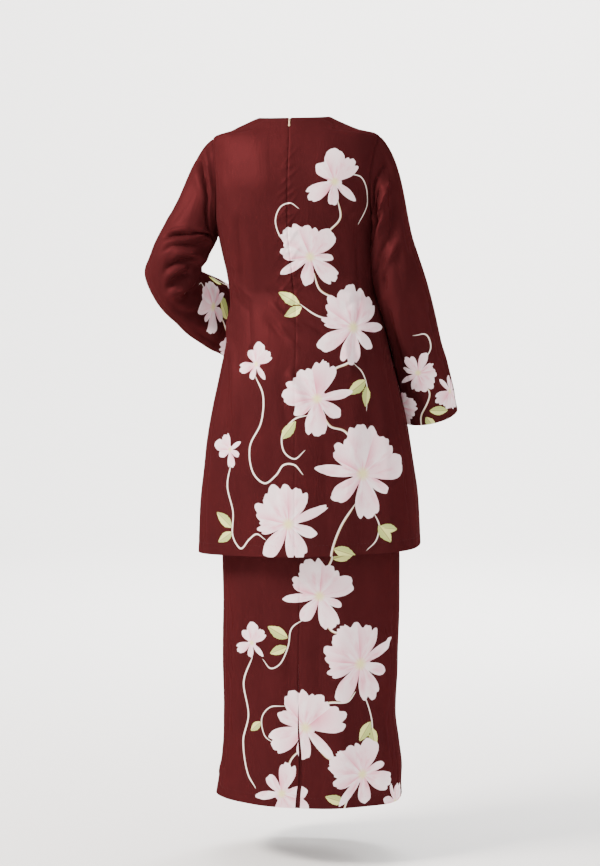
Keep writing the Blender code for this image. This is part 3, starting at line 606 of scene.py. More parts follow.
SLEEVE_RIGHT_FOLDS = fold_table(
    (46, 48, 110, 66, 4.8, 8, 3),
    (74, 37, 114, 47, 4.4, -7.5, 2),
    (84, 72, 126, 80, 5, -7.5, 2),
    (56, 122, 138, 198, 7, 8, 2),
    (84, 116, 146, 180, 6, -7, 2),
    (142, 14, 86, 19, 6.2, -9.7, 3, 0.2),
    (92, 18, 36, 32, 6.2, -9.7, -2, 0.2),
    (134, 33, 50, 48, 8.5, 6.4, 3),
    (74, 34, 132, 88, 6.8, -7.7, 3),
    (60, 54, 112, 106, 9, 5.5, 4),
    (44, 74, 86, 128, 8, -5.1, 3),
    (40, 98, 66, 198, 12, 4.7, 3),
    (104, 148, 128, 216, 8, -7.2, 3, 0.2),
    (88, 150, 104, 230, 10, 5.9, 3),
    (98, 226, 108, 338, 11, 6.4, 3, 0.2),
    (78, 220, 84, 360, 10, -5.1, 3),
    (126, 230, 122, 330, 9, -5.5, 2),
    (126, 305, 112, 420, 8.5, -4.2, 3),
    (52, 238, 32, 390, 12, 5.1, 3),
    (140, 330, 148, 490, 11, 4.2, 3),
    (90, 390, 84, 495, 11, 3.9, 3),
    (14, 120, 8, 250, 11, -2.6, 3),
    (330, 18, 296, 80, 9, -4.2, 3),
    (306, 20, 268, 82, 9, 3.6, 3),
    (250, 70, 300, 120, 7.5, -4.2, 3),
    (270, 130, 300, 230, 10, 3.4, 3),
    (236, 190, 284, 224, 7, -4.2, 3),
    (232, 210, 280, 246, 8, 3.6, 3),
    (228, 248, 272, 270, 7, -3.6, 3),
    (300, 260, 316, 400, 11, -3.1, 3),
    (258, 320, 250, 460, 12, 3.4, 3),
    (204, 300, 196, 460, 12, -3.1, 3),
    (350, 360, 342, 490, 11, 3.1, 3),
    across=1,
)

# Small gathers of the sleeves' heads: degrees round the armhole and size, shared by both sleeves
CAP_GATHERS = (
    (346, 0.0006), (357, 0.0008), (9, 0.0009), (18, 0.0007), (31, 0.0008), (43, 0.0006), (58, 0.0005),
)

TUNIC_BACK_PRINT = print_table(
    blooms=(
        (-94, -138, 66, 2, 10), (-40, -286, 74.8, 1, -14), (-116, -426, 90.2, 0, 8),
        (-44, -566, 77, 3, -30), (-136, -716, 102.3, 1, 22), (12, -812, 88, 0, -16),
        (84, -498, 44.1, 2, 24), (146, -668, 37.8, 2, -60),
    ),
    leaves=(
        (-147, -530, 54, -34), (-148, -540, 46, -84), (-10, -382, 52, 32), (-14, -384, 44, -30),
        (-76, -862, 52, 200), (137, -822, 50, 38), (137, -830, 42, -32), (-168, -818, 48, 236),
        (-168, -824, 42, 190), (26, -646, 48, 128),
    ),
    stems=(
        (2.13, True, (-70, -910), (-74, -866), (-92, -818), (-120, -775)),
        (1.97, True, (-118, -655), (-98, -630), (-70, -620), (-54, -594)),
        (2.13, True, (-60, -524), (-82, -506), (-108, -494), (-118, -462)),
        (1.89, True, (-100, -384), (-74, -366), (-52, -350), (-44, -318)),
        (1.72, True, (-56, -256), (-86, -232), (-106, -208), (-100, -172)),
        (1.23, False, (-118, -496), (-136, -514), (-149, -545), (-146, -590)),
        (1.3, False, (-78, -412), (-50, -406), (-30, -396), (-10, -380)),
        (1.6, False, (84, -522), (66, -560), (70, -612), (94, -660), (88, -708), (62, -732), (38, -716),
         (22, -696), (0, -696), (-16, -714)),
        (1.5, False, (142, -695), (150, -740), (136, -790), (137, -836), (118, -862), (98, -844),
         (78, -832), (60, -842)),
        (1.07, False, (-122, -122), (-150, -128), (-165, -154), (-163, -190), (-146, -220)),
        (1.4, False, (-30, -598), (0, -606), (24, -634), (22, -668), (0, -684), (-20, -668)),
        (1.15, False, (-158, -792), (-170, -820), (-164, -850), (-146, -868)),
        (1.15, False, (-6, -268), (16, -244), (24, -214), (14, -188), (-6, -180), (-22, -190)),
    ),
)

TUNIC_FRONT_PRINT = print_table(
    blooms=(
        (94, -170, 56, 1, 24), (38, -325, 62, 0, -30), (110, -466, 74, 3, 30), (38, -606, 62, 2, -10),
        (122, -736, 84, 0, 64), (8, -804, 70, 1, 160), (-90, -560, 38, 2, 60), (-140, -720, 40, 1, -30),
    ),
    leaves=(
        (150, -586, 48, -36), (150, -592, 44, -88), (48, -402, 50, 148), (70, -856, 50, 18),
        (-60, -842, 50, 34), (-96, -838, 42, 118), (-22, -704, 46, 62),
    ),
    stems=(
        (2.13, True, (64, -910), (60, -868), (92, -840), (118, -800)),
        (1.97, True, (104, -690), (80, -672), (52, -664), (44, -640)),
        (2.13, True, (50, -572), (74, -552), (104, -546), (112, -520)),
        (1.89, True, (96, -425), (68, -412), (40, -396), (40, -366)),
        (1.72, True, (50, -292), (76, -262), (100, -240), (98, -202)),
        (1.6, False, (-94, -584), (-72, -630), (-80, -690), (-60, -740), (-30, -728), (-18, -690)),
        (1.23, False, (-142, -748), (-150, -800), (-124, -850), (-92, -836), (-52, -854)),
        (1.23, False, (116, -530), (134, -550), (150, -588), (143, -640)),
    ),
)

SKIRT_BACK_PRINT = print_table(
    blooms=(
        (-40, -958, 79.2, 1, 8), (-126, -1096, 95.7, 0, -20), (-14, -1222, 85.8, 3, 30),
        (-128, -1318, 79.2, 1, -40), (34, -1356, 68.2, 2, 140), (102, -1058, 42, 2, 14),
        (-214, -1384, 46.2, 1, 80),
    ),
    leaves=(
        (-153, -1214, 50, -52), (-152, -1224, 44, -98), (22, -1044, 52, 26), (23, -1060, 42, -24),
        (80, -1216, 36, -38), (-94, -1372, 44, 18), (-66, -884, 50, 165),
    ),
    stems=(
        (1.97, True, (-60, -840), (-66, -880), (-52, -910), (-44, -934)),
        (1.97, True, (-48, -1002), (-66, -1028), (-98, -1036), (-118, -1062)),
        (2.13, True, (-116, -1152), (-98, -1170), (-60, -1172), (-30, -1192)),
        (1.97, True, (-34, -1262), (-60, -1284), (-94, -1280), (-118, -1302)),
        (1.8, True, (-114, -1348), (-98, -1372), (-90, -1412)),
        (1.8, True, (-4, -1264), (18, -1286), (30, -1318)),
        (1.23, False, (-134, -1156), (-149, -1192), (-155, -1226), (-144, -1258)),
        (1.6, False, (100, -1086), (122, -1140), (112, -1206), (128, -1262), (120, -1320), (94, -1350)),
        (1.23, False, (-10, -1004), (16, -1024), (22, -1060), (36, -1094), (58, -1106), (76, -1090)),
        (1.15, False, (26, -1180), (58, -1184), (79, -1208), (74, -1242), (54, -1256)),
    ),
)

SKIRT_FRONT_PRINT = print_table(
    blooms=(
        (50, -976, 66, 0, 100), (130, -1096, 76, 3, -14), (36, -1212, 70, 1, 20),
        (122, -1322, 66, 0, -50), (-80, -1100, 38, 2, -20), (-34, -1340, 50, 2, 130),
    ),
    leaves=(
        (94, -1160, 46, 66), (-12, -1072, 48, 200), (-86, -1256, 46, 214), (90, -1274, 44, 96),
    ),
    stems=(
        (1.97, True, (70, -850), (74, -890), (58, -920), (52, -948)),
        (1.97, True, (50, -1012), (66, -1040), (102, -1044), (122, -1066)),
        (2.13, True, (124, -1134), (106, -1158), (70, -1162), (48, -1182)),
        (1.97, True, (52, -1246), (76, -1272), (104, -1272), (118, -1290)),
        (1.31, False, (-80, -1126), (-104, -1180), (-90, -1250), (-60, -1290), (-36, -1316)),
        (1.23, False, (8, -1010), (-16, -1046), (-10, -1100), (-40, -1130)),
    ),
)

# On the sleeves across is the way round the arm and down is the way along it
SLEEVE_LEFT_PRINT = print_table(
    blooms=(
        (150, -296, 42, 1, -40), (118, -396, 50, 0, 20), (26, -376, 40, 2, 60), (238, -374, 48, 3, 10),
        (310, -290, 38, 2, -20),
    ),
    leaves=(
        (146, -346, 40, 60), (78, -350, 38, 120), (200, -322, 42, 80),
    ),
    stems=(
        (1.56, True, (118, -450), (112, -418), (124, -372), (146, -318)),
        (1.15, False, (158, -278), (168, -266), (172, -256), (167, -249)),
        (1.48, True, (232, -450), (226, -410), (210, -340), (222, -300), (280, -286)),
        (1.15, False, (34, -350), (50, -312), (40, -280), (58, -256)),
    ),
)

SLEEVE_RIGHT_PRINT = print_table(
    blooms=(
        (86, -384, 50, 0, 160), (146, -462, 48, 1, 100), (20, -450, 44, 3, 220), (232, -412, 50, 0, 20),
        (304, -336, 40, 2, 60),
    ),
    leaves=(
        (80, -470, 44, 200), (88, -482, 38, 250), (188, -436, 44, 120),
    ),
    stems=(
        (1.48, True, (100, -510), (96, -480), (72, -436), (84, -408)),
        (1.15, False, (72, -364), (50, -340), (54, -308), (80, -304)),
        (1.48, True, (226, -510), (220, -470), (196, -420), (230, -380), (286, -352)),
        (1.15, False, (150, -428), (166, -392), (152, -356), (164, -326)),
    ),
)

# Half a leaf's width along it, in lengths of the leaf
LEAF_OUTLINE = (
    (0.0, 0.0), (0.10, 0.11), (0.30, 0.235), (0.52, 0.255), (0.72, 0.185), (0.90, 0.075), (1.0, 0.0),
)

# Each blossom design's petals, in order: direction in degrees, reach, half its spread in degrees, bluntness
PETALS = (
    ((-142, 0.66, 22, 2.2), (-92, 0.84, 30, 2.6), (-38, 0.90, 25, 2.2), (8, 0.72, 23, 2.6),
     (46, 0.86, 33, 2.6), (84, 0.94, 38, 2.8), (124, 0.84, 33, 2.6), (172, 1.00, 21, 1.3)),
    ((-120, 0.90, 29, 2.6), (-62, 0.76, 25, 2.4), (-14, 0.98, 22, 1.3), (28, 0.80, 30, 2.6),
     (68, 0.98, 34, 2.8), (106, 0.84, 34, 2.8), (148, 0.92, 31, 2.4), (-164, 0.62, 20, 2.0)),
    ((-150, 0.86, 24, 1.5), (-96, 0.70, 26, 2.4), (-40, 0.94, 29, 2.6), (34, 0.74, 30, 2.4),
     (78, 1.00, 34, 2.4), (124, 0.90, 33, 2.6)),
    ((-160, 0.94, 23, 1.4), (-112, 0.74, 25, 2.4), (-58, 0.98, 31, 2.6), (-4, 0.70, 25, 2.2),
     (42, 0.92, 35, 2.8), (88, 0.86, 36, 2.6), (134, 1.00, 32, 2.8)),
)


def through(xs: Sequence[float], ys: Sequence[float]) -> Callable[[Any], Array]:
    """A smooth curve through the points that never overshoots them.

    Args:
        xs: Places of the points.
        ys: Values at them.

    Returns:
        A function that gives the value at any place.
    """
    order = np.argsort(xs)
    x, y = np.asarray(xs, float)[order], np.asarray(ys, float)[order]
    step = np.diff(x)
    rise = np.diff(y) / step
    slope = np.empty_like(y)
    slope[0], slope[-1] = rise[0], rise[-1]
    before, after = rise[:-1], rise[1:]
    heavy, light = 2 * step[1:] + step[:-1], step[1:] + 2 * step[:-1]
    with np.errstate(divide="ignore", invalid="ignore"):
        mean = (heavy + light) / (heavy / before + light / after)
    slope[1:-1] = np.where(before * after > 0, mean, 0.0)

    def curve(at: Any) -> Array:
        """The curve's value at a place."""
        at = np.clip(np.asarray(at, float), x[0], x[-1])
        i = np.clip(np.searchsorted(x, at) - 1, 0, len(x) - 2)
        h = step[i]
        t = (at - x[i]) / h
        start = y[i] * (1 + 2 * t) * (1 - t) ** 2 + slope[i] * h * t * (1 - t) ** 2
        return start + y[i + 1] * t * t * (3 - 2 * t) + slope[i + 1] * h * t * t * (t - 1)

    return curve


def smoothstep(t: Any) -> Array:
    """A smooth rise from 0 to 1."""
    t = np.clip(t, 0, 1)
    return t * t * (3 - 2 * t)


def short_way(degrees: Any) -> Any:
    """An angle the shorter way round, between -180 and 180 degrees."""
    return (degrees + 180) % 360 - 180


def unit(v: Any) -> Array:
    """Vectors of length 1 along the given ones."""
    v = np.asarray(v, float)
    return v / np.maximum(np.linalg.norm(v, axis=-1, keepdims=True), 1e-12)


def run_along(points: Array) -> Array:
    """Each point's distance along a line from its first one."""
    return np.concatenate([[0], np.cumsum(np.linalg.norm(np.diff(points, axis=0), axis=1))])


def close_to_edges(length: float, middle: int, first: bool, last: bool) -> Array:
    """Distances along a row that lie close together at a seam.

    Args:
        length: The row's length.
        middle: How many of them are even, between the close ones.
        first: Whether the row starts at a seam.
        last: Whether it ends at one.

    Returns:
        Distances from 0 to the length.
    """
    start = np.array(EDGE_ROWS if first else (0.0,))
    end = np.array(EDGE_ROWS if last else (0.0,))
    even = np.linspace(start[-1], length - end[-1], middle)
    return np.concatenate([start[:-1], even, length - end[::-1][1:]])


def spread_along(curve: Array, middle: int, first: bool, last: bool) -> tuple[Array, Array]:
    """Points along a curve, close together at its seams.

    Args:
        curve: The curve's own points.
        middle: How many even points lie between the close ones.
        first: Whether it starts at a seam.
        last: Whether it ends at one.

    Returns:
        The points and their distances along the curve.
    """
    length = run_along(curve)
    at = close_to_edges(length[-1], middle, first, last)
    return np.stack([np.interp(at, length, curve[:, k]) for k in range(3)], axis=1), at


@dataclass
class Cloth:
    """A piece of cloth as a grid: points, outward directions, and places on the flat cloth, all in metres.

    A closed grid runs on from its last column to its first, and its flat places have one column more.
    """

    points: Array
    normals: Array
    flat: Array
    closed: bool = False

    def facing(self, points: Array) -> Array:
        """The outward directions of a grid of these columns and rows, from its neighbours.

        Args:
            points: The grid after its folds.

        Returns:
            Directions on the side that the cloth's own directions face.
        """
        across = np.empty_like(points)
        if self.closed:
            across = np.roll(points, -1, axis=1) - np.roll(points, 1, axis=1)
        else:
            across[:, 1:-1] = points[:, 2:] - points[:, :-2]
            across[:, 0], across[:, -1] = points[:, 1] - points[:, 0], points[:, -1] - points[:, -2]
        down = np.empty_like(points)
        down[1:-1] = points[2:] - points[:-2]
        down[0], down[-1] = points[1] - points[0], points[-1] - points[-2]
        normals = unit(np.cross(across, down))
        same = np.sign((normals * self.normals).sum(axis=-1, keepdims=True))
        return normals * np.where(same == 0, 1, same)


class Tube:
    """A body tube given by level sections, such as the tunic or the skirt, with its hanging flutes."""

    def __init__(self, sections: Sequence[Section], flutes: Sequence[Flute]) -> None:
        """Runs smooth curves through the sections' sizes.

        Args:
            sections: The level cuts.
            flutes: The hanging folds.
        """
        height = [s.height for s in sections]
        self.shift = through(height, [s.shift_x for s in sections])
        self.width = through(height, [s.half_width for s in sections])
        self.front = through(height, [s.front for s in sections])
        self.back = through(height, [s.back for s in sections])
        self.power = through(height, [s.squareness for s in sections])
        self.flutes = flutes
        self.levels = np.linspace(min(height), max(height), 61)
        self.turns = np.linspace(0, math.pi / 2, 241)
        self.girths = {side: self._girth(side) for side in Side}

    def _girth(self, side: Side) -> Array:
        """Distances round the tube from its middle, for each level and turn of the look-up table."""
        rows = []
        for z in self.levels:
            x = self.width(z) * np.sin(self.turns)
            curve = self.point(x, np.full_like(x, z), side)
            rows.append(run_along(curve))
        return np.array(rows)

    def depth(self, z: Any, side: Any) -> Array:
        """How far the front (side -1) or the back (side 1) reaches from the middle."""
        return np.where(np.asarray(side) > 0, self.back(z), self.front(z))

    def point(self, x: Array, z: Array, side: Side) -> Array:
        """The point of the front or back at x from the section's middle."""
        power = self.power(z)
        share = np.clip(np.abs(x) / self.width(z), 0, 1)
        y = side.value * self.depth(z, side.value) * (1 - share**power) ** (1 / power)
        return np.stack([x + self.shift(z), y, np.broadcast_to(z, np.shape(x))], axis=-1)

    def inside(self, p: Array, side: Any, clear: Any = 0.0) -> Array:
        """Below 1 inside the tube, widened by a clearance, and above 1 outside it."""
        x, y, z = p[..., 0] - self.shift(p[..., 2]), p[..., 1], p[..., 2]
        power = self.power(z)
        across = (np.abs(x) / (self.width(z) + clear)) ** power
        return across + (np.abs(y) / (self.depth(z, side) + clear)) ** power

    def held_off(self, p: Array, clear: Array) -> Array:
        """The points, with those closer to the tube than the clearance moved straight out from its middle."""
        side = np.sign(p[..., 1])
        share = self.inside(p, side, clear + self.fold(p, side))
        grown = np.maximum(share, 1e-6) ** (-1 / self.power(p[..., 2]))
        middle = np.stack([self.shift(p[..., 2]), np.zeros(share.shape), p[..., 2]], axis=-1)
        return np.where((share < 1)[..., None], middle + (p - middle) * grown[..., None], p)

    def normal(self, p: Array, side: Side) -> Array:
        """The outward direction at points of the tube, the same on both sides of a side seam."""
        change = []
        for way in np.eye(3) * 1e-5:
            change.append(self.inside(p + way, side.value) - self.inside(p - way, side.value))
        return unit(np.stack(change, axis=-1))

    def fold(self, p: Array, side: Any) -> Array:
        """How far the flutes lift the cloth at these points.

        Args:
            p: Points of the tube.
            side: 1 at the back, -1 in front.

        Returns:
            The lift at each point.
        """
        z = p[..., 2]
        x = (p[..., 0] - self.shift(z)) / self.width(z)
        y = p[..., 1] / self.depth(z, side)
        angle = np.degrees(np.arctan2(y, x))
        lift = np.zeros(angle.shape)
        for f in self.flutes:
            down = (f.top - z) / (f.top - f.bottom)
            away = short_way(angle - f.angle - f.drift * down)
            lift += f.depth * smoothstep(down) * np.exp(-((away / f.half_angle) ** 2))
        return lift

    def flat(self, p: Array, side: Side) -> Array:
        """Where points of the tube lie on the flat cloth: across from the middle, and their height.

        Args:
            p: Points of the tube.
            side: Front or back.

        Returns:
            Their places on the flat cloth.
        """
        x, z = p[..., 0] - self.shift(p[..., 2]), p[..., 2]
        table = self.girths[side]
        level = (z - self.levels[0]) / (self.levels[1] - self.levels[0])
        turn = np.arcsin(np.clip(np.abs(x) / self.width(z), 0, 1)) / self.turns[1]
        i = np.clip(level.astype(int), 0, len(self.levels) - 2)
        j = np.clip(turn.astype(int), 0, len(self.turns) - 2)
        u, v = np.clip(level - i, 0, 1), np.clip(turn - j, 0, 1)
        low = table[i, j] * (1 - v) + table[i, j + 1] * v
        high = table[i + 1, j] * (1 - v) + table[i + 1, j + 1] * v
        return np.stack([np.sign(x) * (low * (1 - u) + high * u), z], axis=-1)

    def half(
        self, rows: Sequence[Array], side: Side, hand: Hand, middle: int, last: bool
    ) -> tuple[Cloth, Array, Array]:
        """Half the front or back, between its side seam and the middle of the body.

        Args:
            rows: Curves for the wearer's left, each from its outer edge to the middle.
            side: Front or back.
            hand: The wearer's left or right.
            middle: How many even columns there are.
            last: Whether there is a seam in the middle of the body.

        Returns:
            The cloth, and each point's distance from its row's outer edge and from its inner one.
        """
        spread = [spread_along(curve, middle, True, last) for curve in rows]
        points = np.array([p for p, _ in spread])
        away = np.array([d for _, d in spread])
        shift = self.shift(points[..., 2])
        points[..., 0] = shift + hand.value * (points[..., 0] - shift)
        flat = self.flat(points, side)
        normals = self.normal(points, side)
        points = points + self.fold(points, side.value)[..., None] * normals
        return Cloth(points, normals, flat), away, away[:, -1:] - away


TUNIC = Tube(TUNIC_SECTIONS, TUNIC_FLUTES)
SKIRT = Tube(SKIRT_SECTIONS, SKIRT_FLUTES)


def folds_at(flat: Array, folds: Iterable[Fold], girth: float = 0.0) -> Array:
    """How far the folds lift the cloth.

    Args:
        flat: Places on the flat cloth.
        folds: The ridges and troughs.
        girth: The distance round a closed piece, past which a fold runs on, or 0.

    Returns:
        The lift at each place.
    """
    lift = np.zeros(flat.shape[:-1])
    for fold in folds:
        start, end = np.array(fold.start), np.array(fold.end)
        way = end - start
        length = np.linalg.norm(way)
        way = way / length
        aside = np.array([-way[1], way[0]])
        for turn in (-girth, 0.0, girth) if girth else (0.0,):
            away = flat + np.array([turn, 0.0]) - start
            along = away @ way / length
            across = away @ aside - fold.bow * 4 * along * (1 - along)
            width = fold.width * (1 + fold.lean * np.tanh(across / fold.width))
            ends = smoothstep((along + FOLD_RUN_OUT) / FOLD_FADE)
            ends = ends * smoothstep((1 + FOLD_RUN_OUT - along) / FOLD_FADE)
            sharpness = TROUGH_SHARPNESS if fold.height < 0 else RIDGE_SHARPNESS
            lift += fold.height * np.exp(-(np.abs(across / width) ** sharpness)) * ends
    return lift


def seam_sink(away: Array) -> Array:
    """How far the cloth sinks towards a seam, at distances from it."""
    return -SEAM_SINK * np.exp(-((away / SEAM_SOFTNESS) ** 2))


def hem_line(away: Array) -> Array:
    """The slight dent of a hem's stitching, at distances from the hem."""
    return -HEM_DENT * np.exp(-(((away - HEM_DEPTH) / HEM_DENT_WIDTH) ** 2))


def hemmed(up: Array) -> Array:
    """The cloth's thickness at distances from its hem, where it is doubled."""
    return CLOTH + HEM_EXTRA * smoothstep((HEM_DEPTH - up) / HEM_EASE)


def waviness(flat: Array, seed: float) -> Array:
    """A very slight unevenness of hanging cloth, on places of the flat cloth."""
    s, t = flat[..., 0], flat[..., 1]
    lift = np.sin(61 * s + 9 * t + seed) * np.sin(17 * t + 2.3 * seed)
    lift += 0.7 * np.sin(103 * s - 21 * t + 1.7 * seed) * np.sin(29 * t - 13 * s + seed)
    return WAVINESS * lift


def hex_colour(code: str) -> tuple[float, float, float, float]:
    """A linear colour with full alpha from an sRGB hex code."""
    parts = [int(code[i : i + 2], 16) / 255 for i in (1, 3, 5)]
    linear = [c / 12.92 if c <= 0.04045 else ((c + 0.055) / 1.055) ** 2.4 for c in parts]
    return (*linear, 1.0)


def add_node(tree: Any, kind: str, inputs: Mapping[Any, Any] | None = None, **settings: Any) -> Any:
    """Adds a node to a tree.

    Args:
        tree: The node tree.
        kind: The node's type.
        inputs: Values or output sockets for its inputs, by name or number.
        settings: The node's own properties.

    Returns:
        The node.
    """
    node = tree.nodes.new(kind)
    for key, value in settings.items():
        setattr(node, key, value)
    for key, value in (inputs or {}).items():
        if isinstance(value, bpy.types.NodeSocket):
            tree.links.new(value, node.inputs[key])
        else:
            node.inputs[key].default_value = value
    return node


def fresh_material(name: str) -> tuple[Any, Any, Any]:
    """A new material with its tree and its Principled shader."""
    material = bpy.data.materials.new(name)
    material.use_nodes = True
    return material, material.node_tree, material.node_tree.nodes["Principled BSDF"]


@dataclass(frozen=True)
class PlainFinish:
    """A finish of one colour with a fine grain: woven tape, dyed nylon or enamel on metal."""

    name: str
    colour: str
    roughness: float
    grain: float = 0.0  # metres between the grain's marks
    sheen: float = 0.0
    coat: float = 0.0

    def build(self) -> Any:
        """The finish as a material."""
        material, tree, shader = fresh_material(self.name)
        shader.inputs["Base Color"].default_value = hex_colour(self.colour)
        shader.inputs["Roughness"].default_value = self.roughness
        shader.inputs["Sheen Weight"].default_value = self.sheen
        shader.inputs["Coat Weight"].default_value = self.coat
        if self.grain:
            place = add_node(tree, "ShaderNodeTexCoord")
            noise = add_node(
                tree, "ShaderNodeTexNoise", {"Vector": place.outputs["Object"], "Scale": 1 / self.grain}
            )
            bump = add_node(
                tree, "ShaderNodeBump", {"Strength": 0.3, "Distance": 0.0002, "Height": noise.outputs[0]}
            )
            tree.links.new(bump.outputs[0], shader.inputs["Normal"])
        return material


def petal_reach(petals: Sequence[tuple[float, float, float, float]], turns: Array) -> Array:
    """How far a blossom's outline reaches in each direction.

    Args:
        petals: Each petal's direction, reach, half its spread in degrees, and how blunt its tip is.
        turns: Directions in degrees.

    Returns:
        The reach, 1 at the longest petal's tip.
    """
    reach = np.full(turns.shape, 0.22)
    for middle, length, spread, blunt in petals:
        away = short_way(turns - middle) / spread
        petal = length * np.maximum(1 - np.abs(away) ** blunt, 0) ** (1.3 / blunt)
        notch = np.exp(-(((away - 0.22) / 0.10) ** 2)) + 0.6 * np.exp(-(((away + 0.34) / 0.08) ** 2))
        petal *= 1 - (0.13 * notch if blunt > 2.5 else 0) + 0.02 * np.sin(9 * away + middle)
        reach = np.maximum(reach, petal)
    return reach


def petal_wash(petals: Sequence[tuple[float, float, float, float]]) -> list[tuple[float, float]]:
    """The painted shade round a blossom: full at each petal's first edge, and fading across it.

    Args:
        petals: Each petal's direction, reach, half its spread in degrees, and how blunt its tip is.

    Returns:
        Points of a curve: share of a turn from -180 degrees, and the shade.
    """
    ordered = sorted((petal[0] + 180) % 360 / 360 for petal in petals)
    edges = [(a + b) / 2 for a, b in zip(ordered, ordered[1:])]
    points = [(0.0, 0.45)]
    for number, edge in enumerate(edges):
        points += [(edge - 0.004, 0.0), (edge, 0.65 + 0.35 * (number % 2))]
    return [*points, (1.0, 0.45)]


@dataclass(frozen=True)
class PrintedCrepe:
    """Satin-backed crepe, dyed and printed: a soft lustre, a fine pebbled grain and matt pale blossoms."""

    name: str = "printed_maroon_crepe"
    ground: str = "#471B1D"
    ground_deep: str = "#3A1719"
    petal: str = "#FDEBEF"
    petal_wash: str = "#EC94AC"
    heart: str = "#EDE79A"
    leaf: str = "#DFE290"
    leaf_deep: str = "#B7C276"
    stem: str = "#F7EBE2"
    stem_shade: str = "#D9C39A"
    nap: str = "#A04C4A"
    edge_tint: str = "#4A2424"
    roughness: float = 0.53
    ink_mattness: float = 0.14  # how much rougher the printed petals are
    reverse_fade: float = 0.62  # how much of the print is lost on the reverse
    lustre: float = 0.2  # a satin's reflection in its own colour
    sheen: float = 0.03
    grain: float = 0.0011  # the crepe's pebbles are about 0.4 mm, drawn coarser so that they show
    ink_edge: float = 0.0004
    wrinkles: tuple[float, float, float] = (34.0, 11.0, 1.0)  # faint unevenness to a metre, across and down

    def _stems(self, tree: Any, colour: Any) -> Any:
        """The cloth's colour with its stems drawn over it.

        Args:
            tree: The material's nodes.
            colour: The colour under the stems.

        Returns:
            The colour's socket.
        """
        for layer in ("stem_a", "stem_b"):
            place = add_node(tree, "ShaderNodeAttribute", attribute_name=layer)
            parts = add_node(tree, "ShaderNodeSeparateXYZ", {0: place.outputs["Vector"]})
            across, half, shaded = parts.outputs
            away = add_node(tree, "ShaderNodeMath", {0: across}, operation="ABSOLUTE")
            depth = add_node(tree, "ShaderNodeMath", {0: half, 1: away.outputs[0]}, operation="SUBTRACT")
            low, high = -self.ink_edge, self.ink_edge
            ink = add_node(
                tree, "ShaderNodeMapRange", {"Value": depth.outputs[0], "From Min": low, "From Max": high}
            )
            share = add_node(tree, "ShaderNodeMath", {0: across, 1: half}, operation="DIVIDE")
            side = add_node(
                tree, "ShaderNodeMapRange", {"Value": share.outputs[0], "From Min": 0.0, "From Max": 0.5}
            )
            shade = add_node(tree, "ShaderNodeMath", {0: side.outputs[0], 1: shaded}, operation="MULTIPLY")
            light, dark = hex_colour(self.stem), hex_colour(self.stem_shade)
            tone = add_node(tree, "ShaderNodeMix", {0: shade.outputs[0], 6: light, 7: dark}, data_type="RGBA")
            over = {0: ink.outputs[0], 6: colour, 7: tone.outputs[2]}
            colour = add_node(tree, "ShaderNodeMix", over, data_type="RGBA").outputs[2]
        return colour

    def _leaves(self, tree: Any, colour: Any) -> Any:
        """The cloth's colour with its leaves drawn over it.

        Args:
            tree: The material's nodes.
            colour: The colour under the leaves.

        Returns:
            The colour's socket.
        """
        place = add_node(tree, "ShaderNodeAttribute", attribute_name="leaf")
        along, across, chance = add_node(tree, "ShaderNodeSeparateXYZ", {0: place.outputs["Vector"]}).outputs
        shape = add_node(tree, "ShaderNodeFloatCurve", {"Value": along})
        self._draw(shape, LEAF_OUTLINE)
        away = add_node(tree, "ShaderNodeMath", {0: across}, operation="ABSOLUTE")
        jag = add_node(
            tree, "ShaderNodeTexNoise", {"Vector": place.outputs["Vector"], "Scale": 13.0, "Detail": 1.0}
        )
        wide = {0: jag.outputs[0], 1: 0.05, 2: shape.outputs[0]}
        rim = add_node(tree, "ShaderNodeMath", wide, operation="MULTIPLY_ADD")
        depth = add_node(
            tree, "ShaderNodeMath", {0: rim.outputs[0], 1: away.outputs[0]}, operation="SUBTRACT"
        )
        ink = add_node(
            tree, "ShaderNodeMapRange", {"Value": depth.outputs[0], "From Min": 0.052, "From Max": 0.064}
        )
        tone = {0: across, 1: chance}
        side = add_node(tree, "ShaderNodeMath", tone, operation="MULTIPLY")
        shade = add_node(
            tree, "ShaderNodeMapRange", {"Value": side.outputs[0], "From Min": -0.05, "From Max": 0.07}
        )
        light, dark = hex_colour(self.leaf), hex_colour(self.leaf_deep)
        fill = add_node(tree, "ShaderNodeMix", {0: shade.outputs[0], 6: light, 7: dark}, data_type="RGBA")
        rib = {"Value": away.outputs[0], "From Min": 0.022, "From Max": 0.008, "To Max": 0.55}
        vein = add_node(tree, "ShaderNodeMapRange", rib)
        ribbed = {0: vein.outputs[0], 6: fill.outputs[2], 7: hex_colour(self.ground)}
        drawn = add_node(tree, "ShaderNodeMix", ribbed, data_type="RGBA")
        over = {0: ink.outputs[0], 6: colour, 7: drawn.outputs[2]}
        return add_node(tree, "ShaderNodeMix", over, data_type="RGBA").outputs[2]

    def _draw(self, node: Any, points: Iterable[tuple[float, float]]) -> None:
        """Sets a curve node's line through points, straight between them.

        Args:
            node: The curve node.
            points: The line's points.
        """
        line = node.mapping.curves[0]
        points = list(points)
        while len(line.points) < len(points):
            line.points.new(0.5, 0.5)
        for point, (x, y) in zip(line.points, points):
            point.location = (x, y)
            point.handle_type = "VECTOR"
        node.mapping.update()

